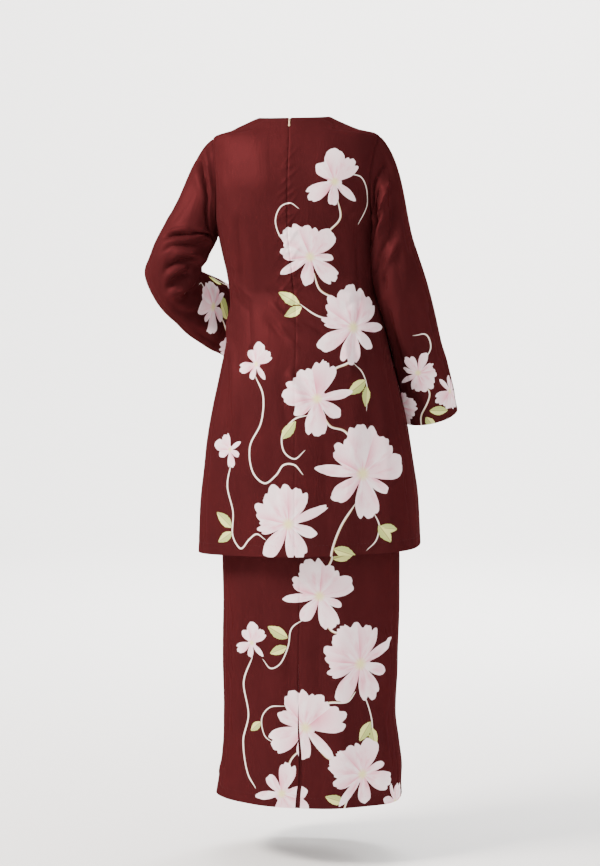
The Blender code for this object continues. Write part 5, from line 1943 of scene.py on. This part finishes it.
@dataclass
class Sleeve:
    """A set-in sleeve, from the armhole's seam to its open cuff."""

    arm: Arm
    hand: Hand
    folds: tuple[Fold, ...]
    motifs: Print
    crepe: Any
    tunic: Tunic
    half_turns: int = 64
    cap_rows: int = 34
    arm_rows: int = 110
    head_fullness: float = 0.9
    seam_folds: float = 0.15  # the share of its folds that runs up to the armhole
    hems: list[Line] = field(default_factory=list)

    def armhole_ring(self, turns: Array) -> tuple[Array, Array]:
        """(points, normals) round the armhole: from its top, down the back, then up the front.

        Args:
            turns: Half turns round it, from its top.

        Returns:
            The points and their outward directions.
        """
        back_x, back_z = self.tunic.armhole_edge(turns, Side.BACK)
        front_x, front_z = self.tunic.armhole_edge(turns[::-1][1:-1], Side.FRONT)
        back, front = TUNIC.point(back_x, back_z, Side.BACK), TUNIC.point(front_x, front_z, Side.FRONT)
        points = np.concatenate([back, front])
        normals = np.concatenate([TUNIC.normal(back, Side.BACK), TUNIC.normal(front, Side.FRONT)])
        middle = TUNIC.shift(points[:, 2])
        points[:, 0] = middle + self.hand.value * (points[:, 0] - middle)
        return points, normals * np.array([self.hand.value, 1, 1])

    def grid(self) -> tuple[Array, Array, Array, Array]:
        """(points, distances down the arm, turns round it, directions at the armhole), before the folds."""
        arm, hand = self.arm, self.hand.value
        line = ArmLine(arm, self.hand)
        half = np.linspace(0, math.pi, self.half_turns + 1)
        start, start_normals = self.armhole_ring(half)
        turns = np.concatenate([half, math.pi + half[1:-1]])
        along = arm.cap_length + close_to_edges(line.length - arm.cap_length, self.arm_rows, False, True)
        places = [r.along for r in arm.rings]
        table = [through(places, values)(along)[:, None] for values in list(zip(*arm.rings))[1:]]
        outer_reach, inner_reach, back_reach, front_reach, sag = table
        middle, direction, side, back = line.frame(along)
        cos, sin = np.cos(turns), np.sin(turns)
        width = np.where(cos > 0, outer_reach, inner_reach) * cos
        depth = np.where(sin > 0, back_reach, front_reach) * sin
        spokes = width[..., None] * side[:, None, :] + depth[..., None] * back[:, None, :]
        rings = middle[:, None, :] + spokes
        rings[..., 2] -= sag * np.clip(-unit(spokes)[..., 2], 0, 1)
        chord = np.linalg.norm(rings[0] - start, axis=1)[:, None]
        under = ((1 - cos) / 2)[:, None]
        mirror = np.array([hand, 1, 1])
        leave = unit(((1 - under) * np.array(arm.top_turn) + under * np.array(arm.under_turn)) * mirror)
        cap_distance = close_to_edges(arm.cap_length, self.cap_rows, True, False)[:-1]
        cap = []
        for t in cap_distance / arm.cap_length:
            cap.append(
                (1 + 2 * t) * (1 - t) ** 2 * start
                + t * (1 - t) ** 2 * leave * chord * self.head_fullness
                + t * t * (3 - 2 * t) * rings[0]
                + t * t * (t - 1) * direction[0] * chord
            )
        distance = np.concatenate([cap_distance, along])
        return np.concatenate([np.array(cap), rings]), distance, turns, start_normals

    def creases(self, distance: Array, turns: Array) -> Array:
        """How far the sleeve's broad creases lift its cloth.

        Args:
            distance: Distances down the arm.
            turns: Turns round it.

        Returns:
            The lift at each place.
        """
        lift = np.zeros((len(distance), len(turns)))
        for c in self.arm.creases:
            across = np.radians(short_way(np.degrees(turns) - c.around))[None, :] * SLEEVE_GIRTH_RADIUS
            along = (distance - c.along)[:, None]
            slant = math.radians(c.slant)
            u = across * math.cos(slant) + along * math.sin(slant)
            v = -across * math.sin(slant) + along * math.cos(slant)
            lift += c.height * np.exp(-((u / c.half_length) ** 2) - (v / c.half_width) ** 2)
        return lift * smoothstep(distance / ARMHOLE_CALM)[:, None]

    def gathers(self, distance: Array, turns: Array) -> Array:
        """How far the eased seam gathers the sleeve's head."""
        lift = np.zeros((len(distance), len(turns)))
        for around, size in CAP_GATHERS:
            away = short_way(np.degrees(turns) - around)[None, :]
            fade = smoothstep(distance / SEAM_FLAT) * smoothstep(1 - distance / GATHER_LENGTH)
            lift += size * np.exp(-((away / GATHER_HALF_DEG) ** 2)) * fade[:, None]
        return lift

    def build(self, nodes: Sequence[str]) -> None:
        """Makes the sleeve.

        Args:
            nodes: The solids that it stands for.
        """
        points, distance, turns, start_normals = self.grid()
        girth = 2 * math.pi * SLEEVE_GIRTH_RADIUS
        across = np.concatenate([turns, [2 * math.pi]]) * SLEEVE_GIRTH_RADIUS
        flat = np.stack(np.broadcast_arrays(across[None, :], -distance[:, None]), axis=-1)
        cloth = Cloth(points, np.broadcast_to(start_normals, points.shape).copy(), flat, closed=True)
        around = np.roll(points, -1, axis=1) - np.roll(points, 1, axis=1)
        normals = unit(np.cross(around, np.gradient(points, axis=0))) * -self.hand.value
        smooth_run = np.clip((normals[0] * start_normals).sum(axis=1), 0, 1)[:, None]
        normals[0] = unit(normals[0] * (1 - smooth_run) + start_normals * smooth_run)
        cloth.normals = normals
        radians = math.pi / 180 * SLEEVE_GIRTH_RADIUS
        folds = []
        for fold in self.folds:
            (turn, down), (end_turn, end_down) = fold.start, fold.end
            end_turn = turn + short_way(end_turn - turn)
            folds.append(fold._replace(start=(turn * radians, -down), end=(end_turn * radians, -end_down)))
        calm = smoothstep(distance / CALM_EDGE)[:, None]
        lift = folds_at(flat[:, :-1], folds, girth) * (self.seam_folds + (1 - self.seam_folds) * calm)
        lift += self.creases(distance, turns) + self.gathers(distance, turns)
        off_top = smoothstep(np.sin(turns / 2) * 4)[None, :]
        lift += waviness(flat[:, :-1], 2.1 + self.hand.value) * calm * off_top
        lift += seam_sink(distance)[:, None] + hem_line(distance[-1] - distance)[:, None]
        outer = points + lift[..., None] * normals
        clear = SEAM_GAP + (SLEEVE_CLEAR - SEAM_GAP) * smoothstep(distance / ARMHOLE_CALM)[1:, None]
        outer[1:] = TUNIC.held_off(outer[1:], clear)
        thickness = np.broadcast_to(hemmed(distance[-1] - distance)[:, None], lift.shape)
        shell = Shell(f"cloth_sleeve_{self.hand.name.lower()}", cloth, lift, self.motifs, thickness)
        declare(shell.wrap(outer, self.crepe), nodes, (0.48, 0.60), 0.175)
        self.hems.append(shell.row(int(np.abs(distance[-1] - distance - HEM_DEPTH).argmin())))


@dataclass
class Skirt(Garment):
    """The long skirt: a front, two backs with a vent, the vent's underlap and the waistband."""

    NAME = "skirt"
    PRINTS = {Side.BACK: SKIRT_BACK_PRINT, Side.FRONT: SKIRT_FRONT_PRINT}
    CUTS = {Side.BACK: Cut((0.27, 1.03), 0.256), Side.FRONT: Cut((0.545, 1.03), 0.505)}
    RESTS_ON = ("skirt_waistband",)

    middle_columns: int = 58
    vent_rows: int = 50
    upper_rows: int = 150
    band_columns: int = 34
    band_rows: int = 6
    samples: int = 301
    seam_depth: float = 1.3  # of the seam between the backs, in seams of the usual depth
    vent_pull: float = 1.2  # how much deeper it is above the vent

    def half_gap(self, z: float) -> float:
        """Half the space between the back panels: a seam down to the vent, then its two edges parting."""
        share = np.clip((VENT_TOP_Z - z) / (VENT_TOP_Z - SKIRT_HEM_Z), 0, 1)
        return CLOSED_GAP + VENT_OPENING / 2 * float(share) ** 0.8

    def curves(self, heights: Array, side: Side, gap: Callable[[float], float]) -> list[Array]:
        """Level curves from the side seam to the middle of the body."""
        turn = np.linspace(0, math.pi / 2, self.samples)
        rows = []
        for z in heights:
            inner = gap(z)
            x = inner + (SKIRT.width(z) - inner) * np.cos(turn)
            rows.append(SKIRT.point(x, np.full_like(turn, z), side))
        return rows

    def heights(self) -> Array:
        """The rows' heights, from the hem up."""
        low = SKIRT_HEM_Z + close_to_edges(VENT_TOP_Z - SKIRT_HEM_Z, self.vent_rows, True, False)
        high = VENT_TOP_Z + close_to_edges(SKIRT_TOP_Z - VENT_TOP_Z, self.upper_rows, False, True)
        return np.concatenate([low, high[1:]])

    def half(self, side: Side, hand: Hand) -> tuple[Cloth, Array, Array, Array]:
        """Half the front or back.

        Args:
            side: Front or back.
            hand: The wearer's left or right.

        Returns:
            The cloth, the lift of its folds, the thickness at each point, and distances from the middle.
        """
        heights = self.heights()
        gap = self.half_gap if side is Side.BACK else lambda z: 0.0
        rows = self.curves(heights, side, gap)
        cloth, outer, inner = SKIRT.half(rows, side, hand, self.middle_columns, side is Side.BACK)
        up = (heights - SKIRT_HEM_Z)[:, None]
        calm = smoothstep(outer / CALM_EDGE)
        folds = SKIRT_BACK_FOLDS if side is Side.BACK else SKIRT_FRONT_FOLDS
        lift = (folds_at(cloth.flat, folds) + waviness(cloth.flat, 4.0 + side.value)) * calm
        lift += seam_sink(outer) + hem_line(up)
        if side is Side.BACK:
            deep = self.seam_depth + self.vent_pull * smoothstep((VENT_TOP_Z + 0.09 - heights) / 0.07)
            lift += seam_sink(inner) * (deep * smoothstep((heights - VENT_TOP_Z) / 0.01))[:, None]
        thickness = np.broadcast_to(hemmed(up), outer.shape)
        return cloth, lift, thickness, inner

    def build(self) -> None:
        """Makes the skirt's pieces."""
        self.underlap(self.panels())
        self.waistband()

    def underlap(self, backs: dict[Hand, Panel]) -> None:
        """The strip behind the vent's open edges.

        Args:
            backs: The back panels.
        """
        parts = []
        rows = np.flatnonzero(self.heights() <= VENT_TOP_Z + 1e-9)
        for hand, (cloth, _, inner) in backs.items():
            columns = np.flatnonzero(inner[0] <= UNDERLAP_HALF_WIDTH)
            pick = np.ix_(rows, columns)
            grid = [cloth.points[pick], cloth.normals[pick], cloth.flat[pick]]
            parts.append([g if hand is Hand.LEFT else g[:, ::-1] for g in grid])
        points, normals, flat = (np.concatenate(pair, axis=1) for pair in zip(*parts))
        strip = Cloth(points - UNDERLAP_DEPTH * normals, normals, flat)
        shell = Shell("cloth_vent_underlap", strip, np.zeros(points.shape[:2]), NO_PRINT, UNDERLAP_CLOTH)
        declare(shell.build(self.crepe), ["skirt_vent_underlap"], (0.062, 0.21), 0.0117, ["skirt_back_left"])

    def waistband(self) -> None:
        """The plain band round the waist."""
        up = close_to_edges(WAISTBAND_HEIGHT, self.band_rows, True, True)
        heights = WAISTBAND_TOP_Z - WAISTBAND_HEIGHT + up
        parts = []
        quarters = [(side, hand) for side in Side for hand in list(Hand)[:: side.value]]
        for side, hand in quarters:
            curves = self.curves(heights, side, lambda z: 0.0)
            cloth, _, _ = SKIRT.half(curves, side, hand, self.band_columns, False)
            backwards = side.value * hand.value < 0
            order = slice(None, None, -1) if backwards else slice(None)
            parts.append([g[:, order][:, :-1] for g in (cloth.points, cloth.normals, cloth.flat)])
        points, normals, flat = (np.concatenate(group, axis=1) for group in zip(*parts))
        flat = np.concatenate([flat, flat[:, :1]], axis=1)
        away = np.minimum(up, WAISTBAND_HEIGHT - up)[:, None] + 0 * points[..., 0]
        band = Cloth(points, normals, flat, closed=True)
        shell = Shell("cloth_skirt_waistband", band, seam_sink(away) * 0.6, NO_PRINT, WAISTBAND_CLOTH)
        declare(shell.build(self.crepe), ["skirt_waistband"], (0.68, 0.032), 0.0217)


class Bead(NamedTuple):
    """The size of a small rounded shape that repeats along a line, and the distance between two."""

    length: float
    width: float
    height: float
    pitch: float


class Repeater:
    """Geometry Nodes that set one small rounded shape at each point, turned by the point's own attribute."""

    SIZES = ("Length", "Width", "Height")

    def __init__(self) -> None:
        """Builds the node tree."""
        self.tree = tree = bpy.data.node_groups.new("repeated_shape", "GeometryNodeTree")
        sockets = [("Geometry", "NodeSocketGeometry"), *((name, "NodeSocketFloat") for name in self.SIZES)]
        sockets += [("Unevenness", "NodeSocketFloat"), ("Seed", "NodeSocketInt")]
        sockets += [("Material", "NodeSocketMaterial")]
        self.keys = {
            name: tree.interface.new_socket(name, in_out="INPUT", socket_type=kind).identifier
            for name, kind in sockets
        }
        tree.interface.new_socket("Geometry", in_out="OUTPUT", socket_type="NodeSocketGeometry")
        given = add_node(tree, "NodeGroupInput").outputs
        ball = add_node(tree, "GeometryNodeMeshUVSphere", {"Segments": 6, "Rings": 4, "Radius": 0.5})
        size = add_node(tree, "ShaderNodeCombineXYZ", {i: given[name] for i, name in enumerate(self.SIZES)})
        least = add_node(tree, "ShaderNodeMath", {0: 1.0, 1: given["Unevenness"]}, operation="SUBTRACT")
        chance = {2: least.outputs[0], 3: 1.0, 8: given["Seed"]}
        uneven = add_node(tree, "FunctionNodeRandomValue", chance, data_type="FLOAT")
        scale = {0: size.outputs[0], "Scale": uneven.outputs[1]}
        sized = add_node(tree, "ShaderNodeVectorMath", scale, operation="SCALE")
        turn = add_node(tree, "GeometryNodeInputNamedAttribute", {"Name": "turn"}, data_type="FLOAT_VECTOR")
        turned = add_node(tree, "FunctionNodeEulerToRotation", {0: turn.outputs[0]})
        place = {"Points": given["Geometry"], "Instance": ball.outputs[0], "Rotation": turned.outputs[0]}
        set_there = add_node(tree, "GeometryNodeInstanceOnPoints", {**place, "Scale": sized.outputs[0]})
        real = add_node(tree, "GeometryNodeRealizeInstances", {0: set_there.outputs[0]})
        smooth = add_node(tree, "GeometryNodeSetShadeSmooth", {0: real.outputs[0]})
        dressed = {"Geometry": smooth.outputs[0], "Material": given["Material"]}
        add_node(tree, "NodeGroupOutput", {0: add_node(tree, "GeometryNodeSetMaterial", dressed).outputs[0]})

    def place(self, name: str, places: Sequence[Matrix], bead: Bead, material: Any) -> Any:
        """Makes one object of shapes.

        Args:
            name: The object's name.
            places: Where each shape is and how it is turned, its length along X.
            bead: The shape's size.
            material: Its finish.

        Returns:
            The object, a plain mesh at the origin.
        """
        mesh = bpy.data.meshes.new(f"{name}_places")
        mesh.from_pydata([m.translation[:] for m in places], [], [])
        turns = np.array([m.to_euler()[:] for m in places], "f")
        mesh.attributes.new("turn", "FLOAT_VECTOR", "POINT").data.foreach_set("vector", turns.reshape(-1))
        obj = bpy.data.objects.new(name, mesh)
        bpy.context.scene.collection.objects.link(obj)
        repeat = obj.modifiers.new("Repeat", "NODES")
        repeat.node_group = self.tree
        values = dict(zip(self.SIZES, bead)) | {"Unevenness": 0.12, "Seed": 7, "Material": material}
        for key, value in values.items():
            repeat[self.keys[key]] = value
        graph = bpy.context.evaluated_depsgraph_get()
        plain = bpy.data.meshes.new_from_object(obj.evaluated_get(graph), depsgraph=graph)
        obj.modifiers.remove(repeat)
        obj.data = plain
        plain.name = name
        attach(obj, "garment")
        log.info("%s has %d shapes", name, len(places))
        return obj


def along_line(line: Line, pitch: float, first: float = 0.0, lifted: float = 0.0) -> list[Matrix]:
    """Places along a line on the cloth, each with X along it and Z out of the cloth.

    Args:
        line: The line.
        pitch: The distance between two places.
        first: The first one's distance from the line's start.
        lifted: How far they stand out of the cloth.

    Returns:
        The places.
    """
    length = run_along(line.points)
    at = np.arange(first, length[-1], pitch)
    points, outward, ahead = (
        np.stack([np.interp(where, length, values[:, k]) for k in range(3)], axis=1)
        for where, values in ((at, line.points), (at, line.outward), (at + 1e-4, line.points))
    )
    x = unit(ahead - points + 1e-9)
    z = unit(outward - (outward * x).sum(axis=1)[:, None] * x)
    y = np.cross(z, x)
    places = []
    for p, *axes in zip(points + lifted * z, x, y, z):
        matrix = Matrix(np.array(axes).T.tolist()).to_4x4()
        matrix.translation = p.tolist()
        places.append(matrix)
    return places


@dataclass
class Stitching:
    """The hems' blind stitches, which show as a row of small pricks."""

    thread: Any
    repeater: Repeater
    prick: Bead = Bead(0.0016, 0.0005, 0.0004, 0.0070)

    def build(self, name: str, hems: Sequence[Line]) -> None:
        """Makes the stitches of one hem.

        Args:
            name: The hem's name.
            hems: Its lines, panel by panel.
        """
        pitch = self.prick.pitch
        places = [m for line in hems for m in along_line(line, pitch, pitch / 2, 0.0001)]
        self.repeater.place(f"stitches_{name}", places, self.prick, self.thread)


@dataclass
class Zip:
    """The concealed zip: tapes inside the seam, their coils, the slider and its pull."""

    backs: dict[Hand, Panel]
    tape: Any
    coil: Any
    enamel: Any
    repeater: Repeater
    tape_depth: float = 0.0004  # between the cloth and a tape
    tape_thickness: float = 0.0005
    coil_apart: float = 0.0005  # from the seam's middle
    slider_clear: float = 0.001
    tooth: Bead = Bead(0.0009, 0.0022, 0.0008, 0.0015)
    bevel: float = 0.00016

    def rows(self, cloth: Cloth) -> Array:
        """The rows that the zip runs along."""
        return np.flatnonzero(cloth.points[:, -1, 2] > -BACK_NECK_DROP - ZIP_LENGTH)

    def tapes(self) -> None:
        """Makes the two tapes."""
        for hand, (cloth, lift, away) in self.backs.items():
            rows = self.rows(cloth)
            pick = np.ix_(rows, np.flatnonzero(away[rows[0]] <= ZIP_TAPE_WIDTH))
            strip = Cloth(cloth.points[pick], cloth.normals[pick], cloth.flat[pick])
            name = f"zip_tape_{hand.name.lower()}"
            depth = lift[pick] - CLOTH - self.tape_depth
            piece = Shell(f"woven_{name}", strip, depth, NO_PRINT, self.tape_thickness).build(self.tape)
            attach(piece, "garment")
            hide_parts(name)

    def coils(self) -> None:
        """Makes the teeth along both tapes, but for those inside the slider."""
        low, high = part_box("zip_slider")
        places = []
        depth = CLOTH + self.tape_depth + self.tape_thickness + self.tooth.height / 2
        for hand, (cloth, lift, _) in self.backs.items():
            rows = self.rows(cloth)
            edge = cloth.points[rows, -1] + (lift[rows, -1] - depth)[:, None] * cloth.normals[rows, -1]
            edge[:, 0] += hand.value * self.coil_apart
            first = self.tooth.pitch * (0.5 if hand is Hand.LEFT else 1.0)
            teeth = along_line(Line(edge, cloth.normals[rows, -1]), self.tooth.pitch, first)
            below, above = low[2] - self.slider_clear, high[2] + self.slider_clear
            places += [m for m in teeth if not below < m.translation.z < above]
        self.repeater.place("zip_teeth", places, self.tooth, self.coil)

    def refined(self, node: str, body: str) -> None:
        """Makes a piece of the slider from its solid, with softened edges.

        Args:
            node: The solid.
            body: What it moves with.
        """
        bm = bmesh.new()
        bm.from_mesh(bpy.data.objects[node].data)
        bmesh.ops.remove_doubles(bm, verts=bm.verts, dist=1e-6)
        bmesh.ops.dissolve_limit(bm, angle_limit=math.radians(2), verts=bm.verts, edges=bm.edges)
        edges = [e for e in bm.edges if len(e.link_faces) == 2 and e.calc_face_angle() > math.radians(35)]
        bmesh.ops.bevel(
            bm, geom=edges, offset=self.bevel, segments=2, profile=0.6, affect="EDGES", clamp_overlap=True
        )
        mesh = bpy.data.meshes.new(f"enamelled_{node}")
        bm.to_mesh(mesh)
        bm.free()
        piece = finished(mesh.name, mesh, self.enamel, 40.0)
        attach(piece, body)
        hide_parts(node)
        log.info("%s stands for %s", piece.name, node)

    def build(self) -> None:
        """Makes the whole zip."""
        self.tapes()
        self.coils()
        self.refined("zip_slider", "garment")
        self.refined("zip_pull", "zip_pull")


class Lamp(NamedTuple):
    """A soft square lamp."""

    name: str
    place: tuple[float, float, float]
    target: tuple[float, float, float]
    size: float
    power: float
    colour: str


@dataclass
class Studio:
    """A pale bowl for a floor, soft lamps, and the camera."""

    floor_z: float = -1.507
    bowl_radius: float = 7.5
    bowl_rise: float = 2.2
    bowl_wall: float = 1.3
    bowl_colour: str = "#F1EFED"
    world_strength: float = 1.0
    lamps: tuple[Lamp, ...] = (
        Lamp("key", (2.2, 1.5, 1.6), (0.0, 0.0, -0.2), 1.0, 285.0, "#FFF6EF"),
        Lamp("front", (-1.8, -3.2, 1.7), (0.0, 0.0, -0.6), 1.4, 130.0, "#FFFFFF"),
        Lamp("backdrop", (0.0, -2.6, 3.4), (0.0, -7.5, -0.6), 2.6, 1000.0, "#FFFFFF"),
    )
    camera_place: tuple[float, float, float] = (-0.69927, 3.93069, -0.39851)
    azimuth: float = 190.0
    elevation: float = 3.5
    lens: float = 81.1

    def bowl(self) -> None:
        """Makes the floor, which curves up far behind the garment and the camera."""
        steps = np.linspace(0, math.pi / 2, 25)
        low = self.bowl_radius - self.bowl_rise
        profile = [(0.0, 0.0), (low / 2, 0.0)]
        profile += [(low + self.bowl_rise * math.sin(a), self.bowl_rise * (1 - math.cos(a))) for a in steps]
        profile += [(self.bowl_radius, self.bowl_rise + self.bowl_wall)]
        turns = np.linspace(0, 2 * math.pi, 97)[:-1]
        ring = np.array([(math.cos(t), math.sin(t)) for t in turns])
        points = [(0.0, 0.0, self.floor_z)]
        points += [(r * x, r * y, self.floor_z + h) for r, h in profile[1:] for x, y in ring]
        count = len(ring)
        faces = [(0, 1 + i, 1 + (i + 1) % count) for i in range(count)]
        for row in range(len(profile) - 2):
            a = 1 + row * count
            b = a + count
            faces += [(a + i, b + i, b + (i + 1) % count, a + (i + 1) % count) for i in range(count)]
        mesh = bpy.data.meshes.new("studio_bowl")
        mesh.from_pydata(points, [], faces)
        paper = PlainFinish("pale_paper", self.bowl_colour, 0.9).build()
        finished("studio_bowl", mesh, paper, 60.0)

    @staticmethod
    def facing(place: tuple[float, float, float], way: Vector) -> Matrix:
        """Where a lamp or the camera is, looking along a direction."""
        return Matrix.Translation(place) @ way.to_track_quat("-Z", "Y").to_matrix().to_4x4()

    def build(self) -> None:
        """Makes the studio."""
        self.bowl()
        world = bpy.data.worlds.new("studio_world")
        world.use_nodes = True
        sky = world.node_tree.nodes["Background"]
        sky.inputs["Color"].default_value = hex_colour("#FFFFFF")
        sky.inputs["Strength"].default_value = self.world_strength
        bpy.context.scene.world = world
        for lamp in self.lamps:
            light = bpy.data.lights.new(lamp.name, "AREA")
            light.shape, light.size, light.energy = "SQUARE", lamp.size, lamp.power
            light.color = hex_colour(lamp.colour)[:3]
            obj = bpy.data.objects.new(lamp.name, light)
            bpy.context.scene.collection.objects.link(obj)
            obj.matrix_world = self.facing(lamp.place, Vector(lamp.target) - Vector(lamp.place))
        view = bpy.data.cameras.new("camera")
        view.lens, view.sensor_fit, view.sensor_width = self.lens, "AUTO", 36.0
        camera = bpy.data.objects.new("camera", view)
        bpy.context.scene.collection.objects.link(camera)
        azimuth, elevation = math.radians(self.azimuth), math.radians(self.elevation)
        level = math.cos(elevation)
        away = Vector((math.sin(azimuth) * level, -math.cos(azimuth) * level, math.sin(elevation)))
        camera.matrix_world = self.facing(self.camera_place, -away)
        bpy.context.scene.camera = camera


def main() -> None:
    """Builds the garment and its studio."""
    logging.basicConfig(level=logging.INFO, format="%(message)s")
    crepe = PrintedCrepe().build()
    tape = PlainFinish("woven_zip_tape", "#5A1F24", 0.75, grain=0.0006, sheen=0.1).build()
    thread = PlainFinish("maroon_thread", "#3A1013", 0.6).build()
    coil = PlainFinish("maroon_nylon", "#4E171C", 0.4).build()
    enamel = PlainFinish("beige_enamel", "#C8AC8A", 0.32, coat=0.4).build()
    tunic = Tunic(crepe)
    backs = tunic.panels()
    left = Sleeve(LEFT_ARM, Hand.LEFT, SLEEVE_LEFT_FOLDS, SLEEVE_LEFT_PRINT, crepe, tunic)
    left.build(["sleeve_left"])
    right = Sleeve(RIGHT_ARM, Hand.RIGHT, SLEEVE_RIGHT_FOLDS, SLEEVE_RIGHT_PRINT, crepe, tunic)
    right.build(["sleeve_right_upper", "sleeve_right_lower"])
    skirt = Skirt(crepe)
    skirt.build()
    repeater = Repeater()
    Zip(backs, tape, coil, enamel, repeater).build()
    stitching = Stitching(thread, repeater)
    hems = {"tunic_hem": tunic.hems, "cuffs": left.hems + right.hems, "skirt_hem": skirt.hems}
    for name, lines in hems.items():
        stitching.build(name, lines)
    Studio().build()


if __name__ == "__main__":
    main()
